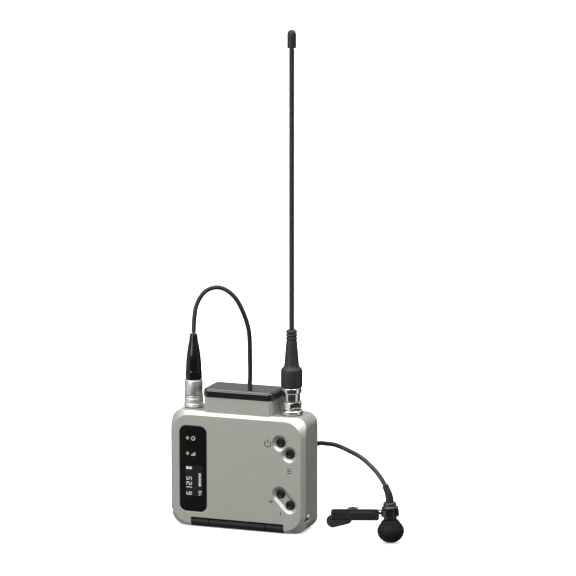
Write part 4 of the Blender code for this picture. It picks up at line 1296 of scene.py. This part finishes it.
def dimple(radius, height, angle):
    """Fine open cells over the ball, as small dents in its outline."""
    if radius < 2.9 or height < 0.8:
        return radius
    around = round(math.tau * radius / 0.55)
    cell = math.sin(around * angle) * math.sin(height * 5.7 + (height // 1.1) * 1.57)
    return radius - 0.06 * max(0.0, cell)


def tie_clip():
    """The stamped alligator clip: ribbed arm with its spring ring, jaw lever, pin and spring."""
    px, py = CLIP_PIVOT
    rivet = lathe("clip_rivet", ((0, 16.2), (0.75, 16.15), (0.75, 15.9), (0.45, 15.9),
                                (0.45, 10.5), (0.75, 10.5),
                                 (0.75, 10.25), (0, 10.2)), (px, py, 0), "Z", 32, 0.06)
    wire = [(px + 1.05 * math.cos(math.tau * i / 20), py + 1.05 * math.sin(math.tau * i / 20),
             12.85 + 0.7 * i / 40)
            for i in range(41)]
    spring = tube("clip_torsion_spring", wire, 0.16, resolution=3)
    arm, jaw = clip_arm(px, py), clip_jaw(px, py)
    return [
        settle(lean(arm, CLIP_TURN), "lacquer", "clip", ("clip_arm",)),
        settle(lean(jaw, CLIP_TURN), "lacquer", "jaw", ("clip_jaw",)),
        settle(lean(rivet, CLIP_TURN), "lacquer", "clip", ("clip_pin",)),
        settle(lean(spring, CLIP_TURN), "steel", "clip", ("clip_spring",)),
    ]


def clip_arm(px, py):
    """A stamped strip with a raised panel, grip ribs and a bent end, joined to a split ring."""
    x0, x1, z0, z1 = CLIP_ARM
    y, axis = CLIP_Y, mic_axis()
    arm = to_object(block((x0, y, z0), (x1, y + SHEET, z1), 1, 1.2, 8), "clip_upper_arm")
    ring = ((4.0, 15.6), (4.0, 12.6), (3.25, 12.6), (3.25, 15.6))
    extras = [lathe("ring", ring, axis, "Z", 72, 0)]
    for low, high in ((13.4, 14.5), (15.1, 15.6)):
        extras.append(box_tool((x1 - 1.0, y + 0.1, low), (axis.x - 3.45, y + 0.9, high)))
    for z in (z0, z1 - SHEET):
        extras.append(box_tool((px - 2.2, y + 0.2, z), (px + 2.2, py + 1.6, z + SHEET), 2, 0.6, 4))
    extras.append(bar("bent_end", 0.75, z0 + 0.9, z1 - 0.9, (x0 + 0.9, y + 0.35, 0), "Z", 32))
    for k in range(5):
        x = x0 + 2.3 + 0.9 * k
        extras.append(box_tool((x, y - 0.22, z0 + 0.9), (x + 0.4, y + 0.2, z1 - 0.9), 1, 0.18, 3))
    extras.append(box_tool((px - 1.6, y - 0.12, z0 + 1.3), (x1 - 2.0, y + 0.2, z1 - 1.3), 1, 1.0, 6))
    carve(arm, extras, "UNION")
    mouth = turn_shape(block((-2.5, -6, 10), (2.5, 0, 18)), 25, "Z", (0, 0, 0))
    bmesh.ops.translate(mouth, verts=mouth.verts, vec=axis)
    carve(arm, [to_object(mouth, "mouth"), bar("pin_way", 0.75, 5, 20, (px, py, 0), "Z", 24)])
    return soften(arm, 0.09)


def clip_jaw(px, py):
    """The lever behind the arm: toothed end towards the microphone, rounded thumb plate slanting away."""
    low, high = 11.6, 14.8
    y = py - 1.0
    jaw = to_object(block((px - 2.6, y, low), (CLIP_ARM[1] - 1.8, y + SHEET, high), 1, 0.5, 4),
                    "clip_lower_jaw")
    ends = ((-9.3, 9.1, 2.9), (-1.9, 10.6, 2.2))
    thumb = hull_of_circles("thumb", [(x, depth, z, radius) for x, z, radius in ends for depth in (0, SHEET)])
    slant = Matrix.Translation(Vector((px - 1.0, y, 0)) * MM) @ Matrix.Rotation(math.radians(-17), 4, "Z")
    thumb.data.transform(slant)
    extras = [thumb]
    for x in (60.0, 62.1, 64.2):
        extras.append(box_tool((x, y - 0.9, low + 0.03), (x + 0.6, y + 0.3, high - 0.03)))
    extras += [bar("barrel", 1.3, a, b, (px, py, 0), "Z", 40) for a, b in ((low, 12.6), (13.9, high))]
    carve(jaw, extras, "UNION")
    carve(jaw, [box_tool((px - 1.6, y - 2, 12.6), (px + 1.6, py + 3, 13.9)),
                box_tool((px - 2.6, y - 2, 10.35), (px + 3.0, py + 3, low)),
                bar("pin_way", 0.75, 5, 20, (px, py, 0), "Z", 24)])
    return soften(jaw, 0.07)


# ---------------------------------------------------------------- carried-over CAD nodes

CARRIED = {
    "mic_socket_insert": "satin", "link_board": "board", "main_board": "board",
    "radio_shield": "satin_plating",
    "battery_tray": "satin", "battery": "battery", "battery_contact_left": "gold",
    "battery_contact_right": "gold",
    "display_module": "gloss", "power_lamp": "lamp", "audio_lamp": "lamp",
    "power_key": "steel", "set_key": "steel",
    "plus_key": "steel", "minus_key": "steel", "hinge_pin": "steel",
}


def dress_carried_nodes():
    for name, look in CARRIED.items():
        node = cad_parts[name]
        node.data.materials.clear()
        node.data.materials.append(LOOK[look])


add_camera()
lead()
add_studio()
front_case()
rear_cover()
cover_screws()
top_cap()
display_window()
face_buttons()
printed_marks()
battery_door()
hinge_knuckles()
door_latch()
mic_plug()
mic_socket()
antenna()
dress_carried_nodes()
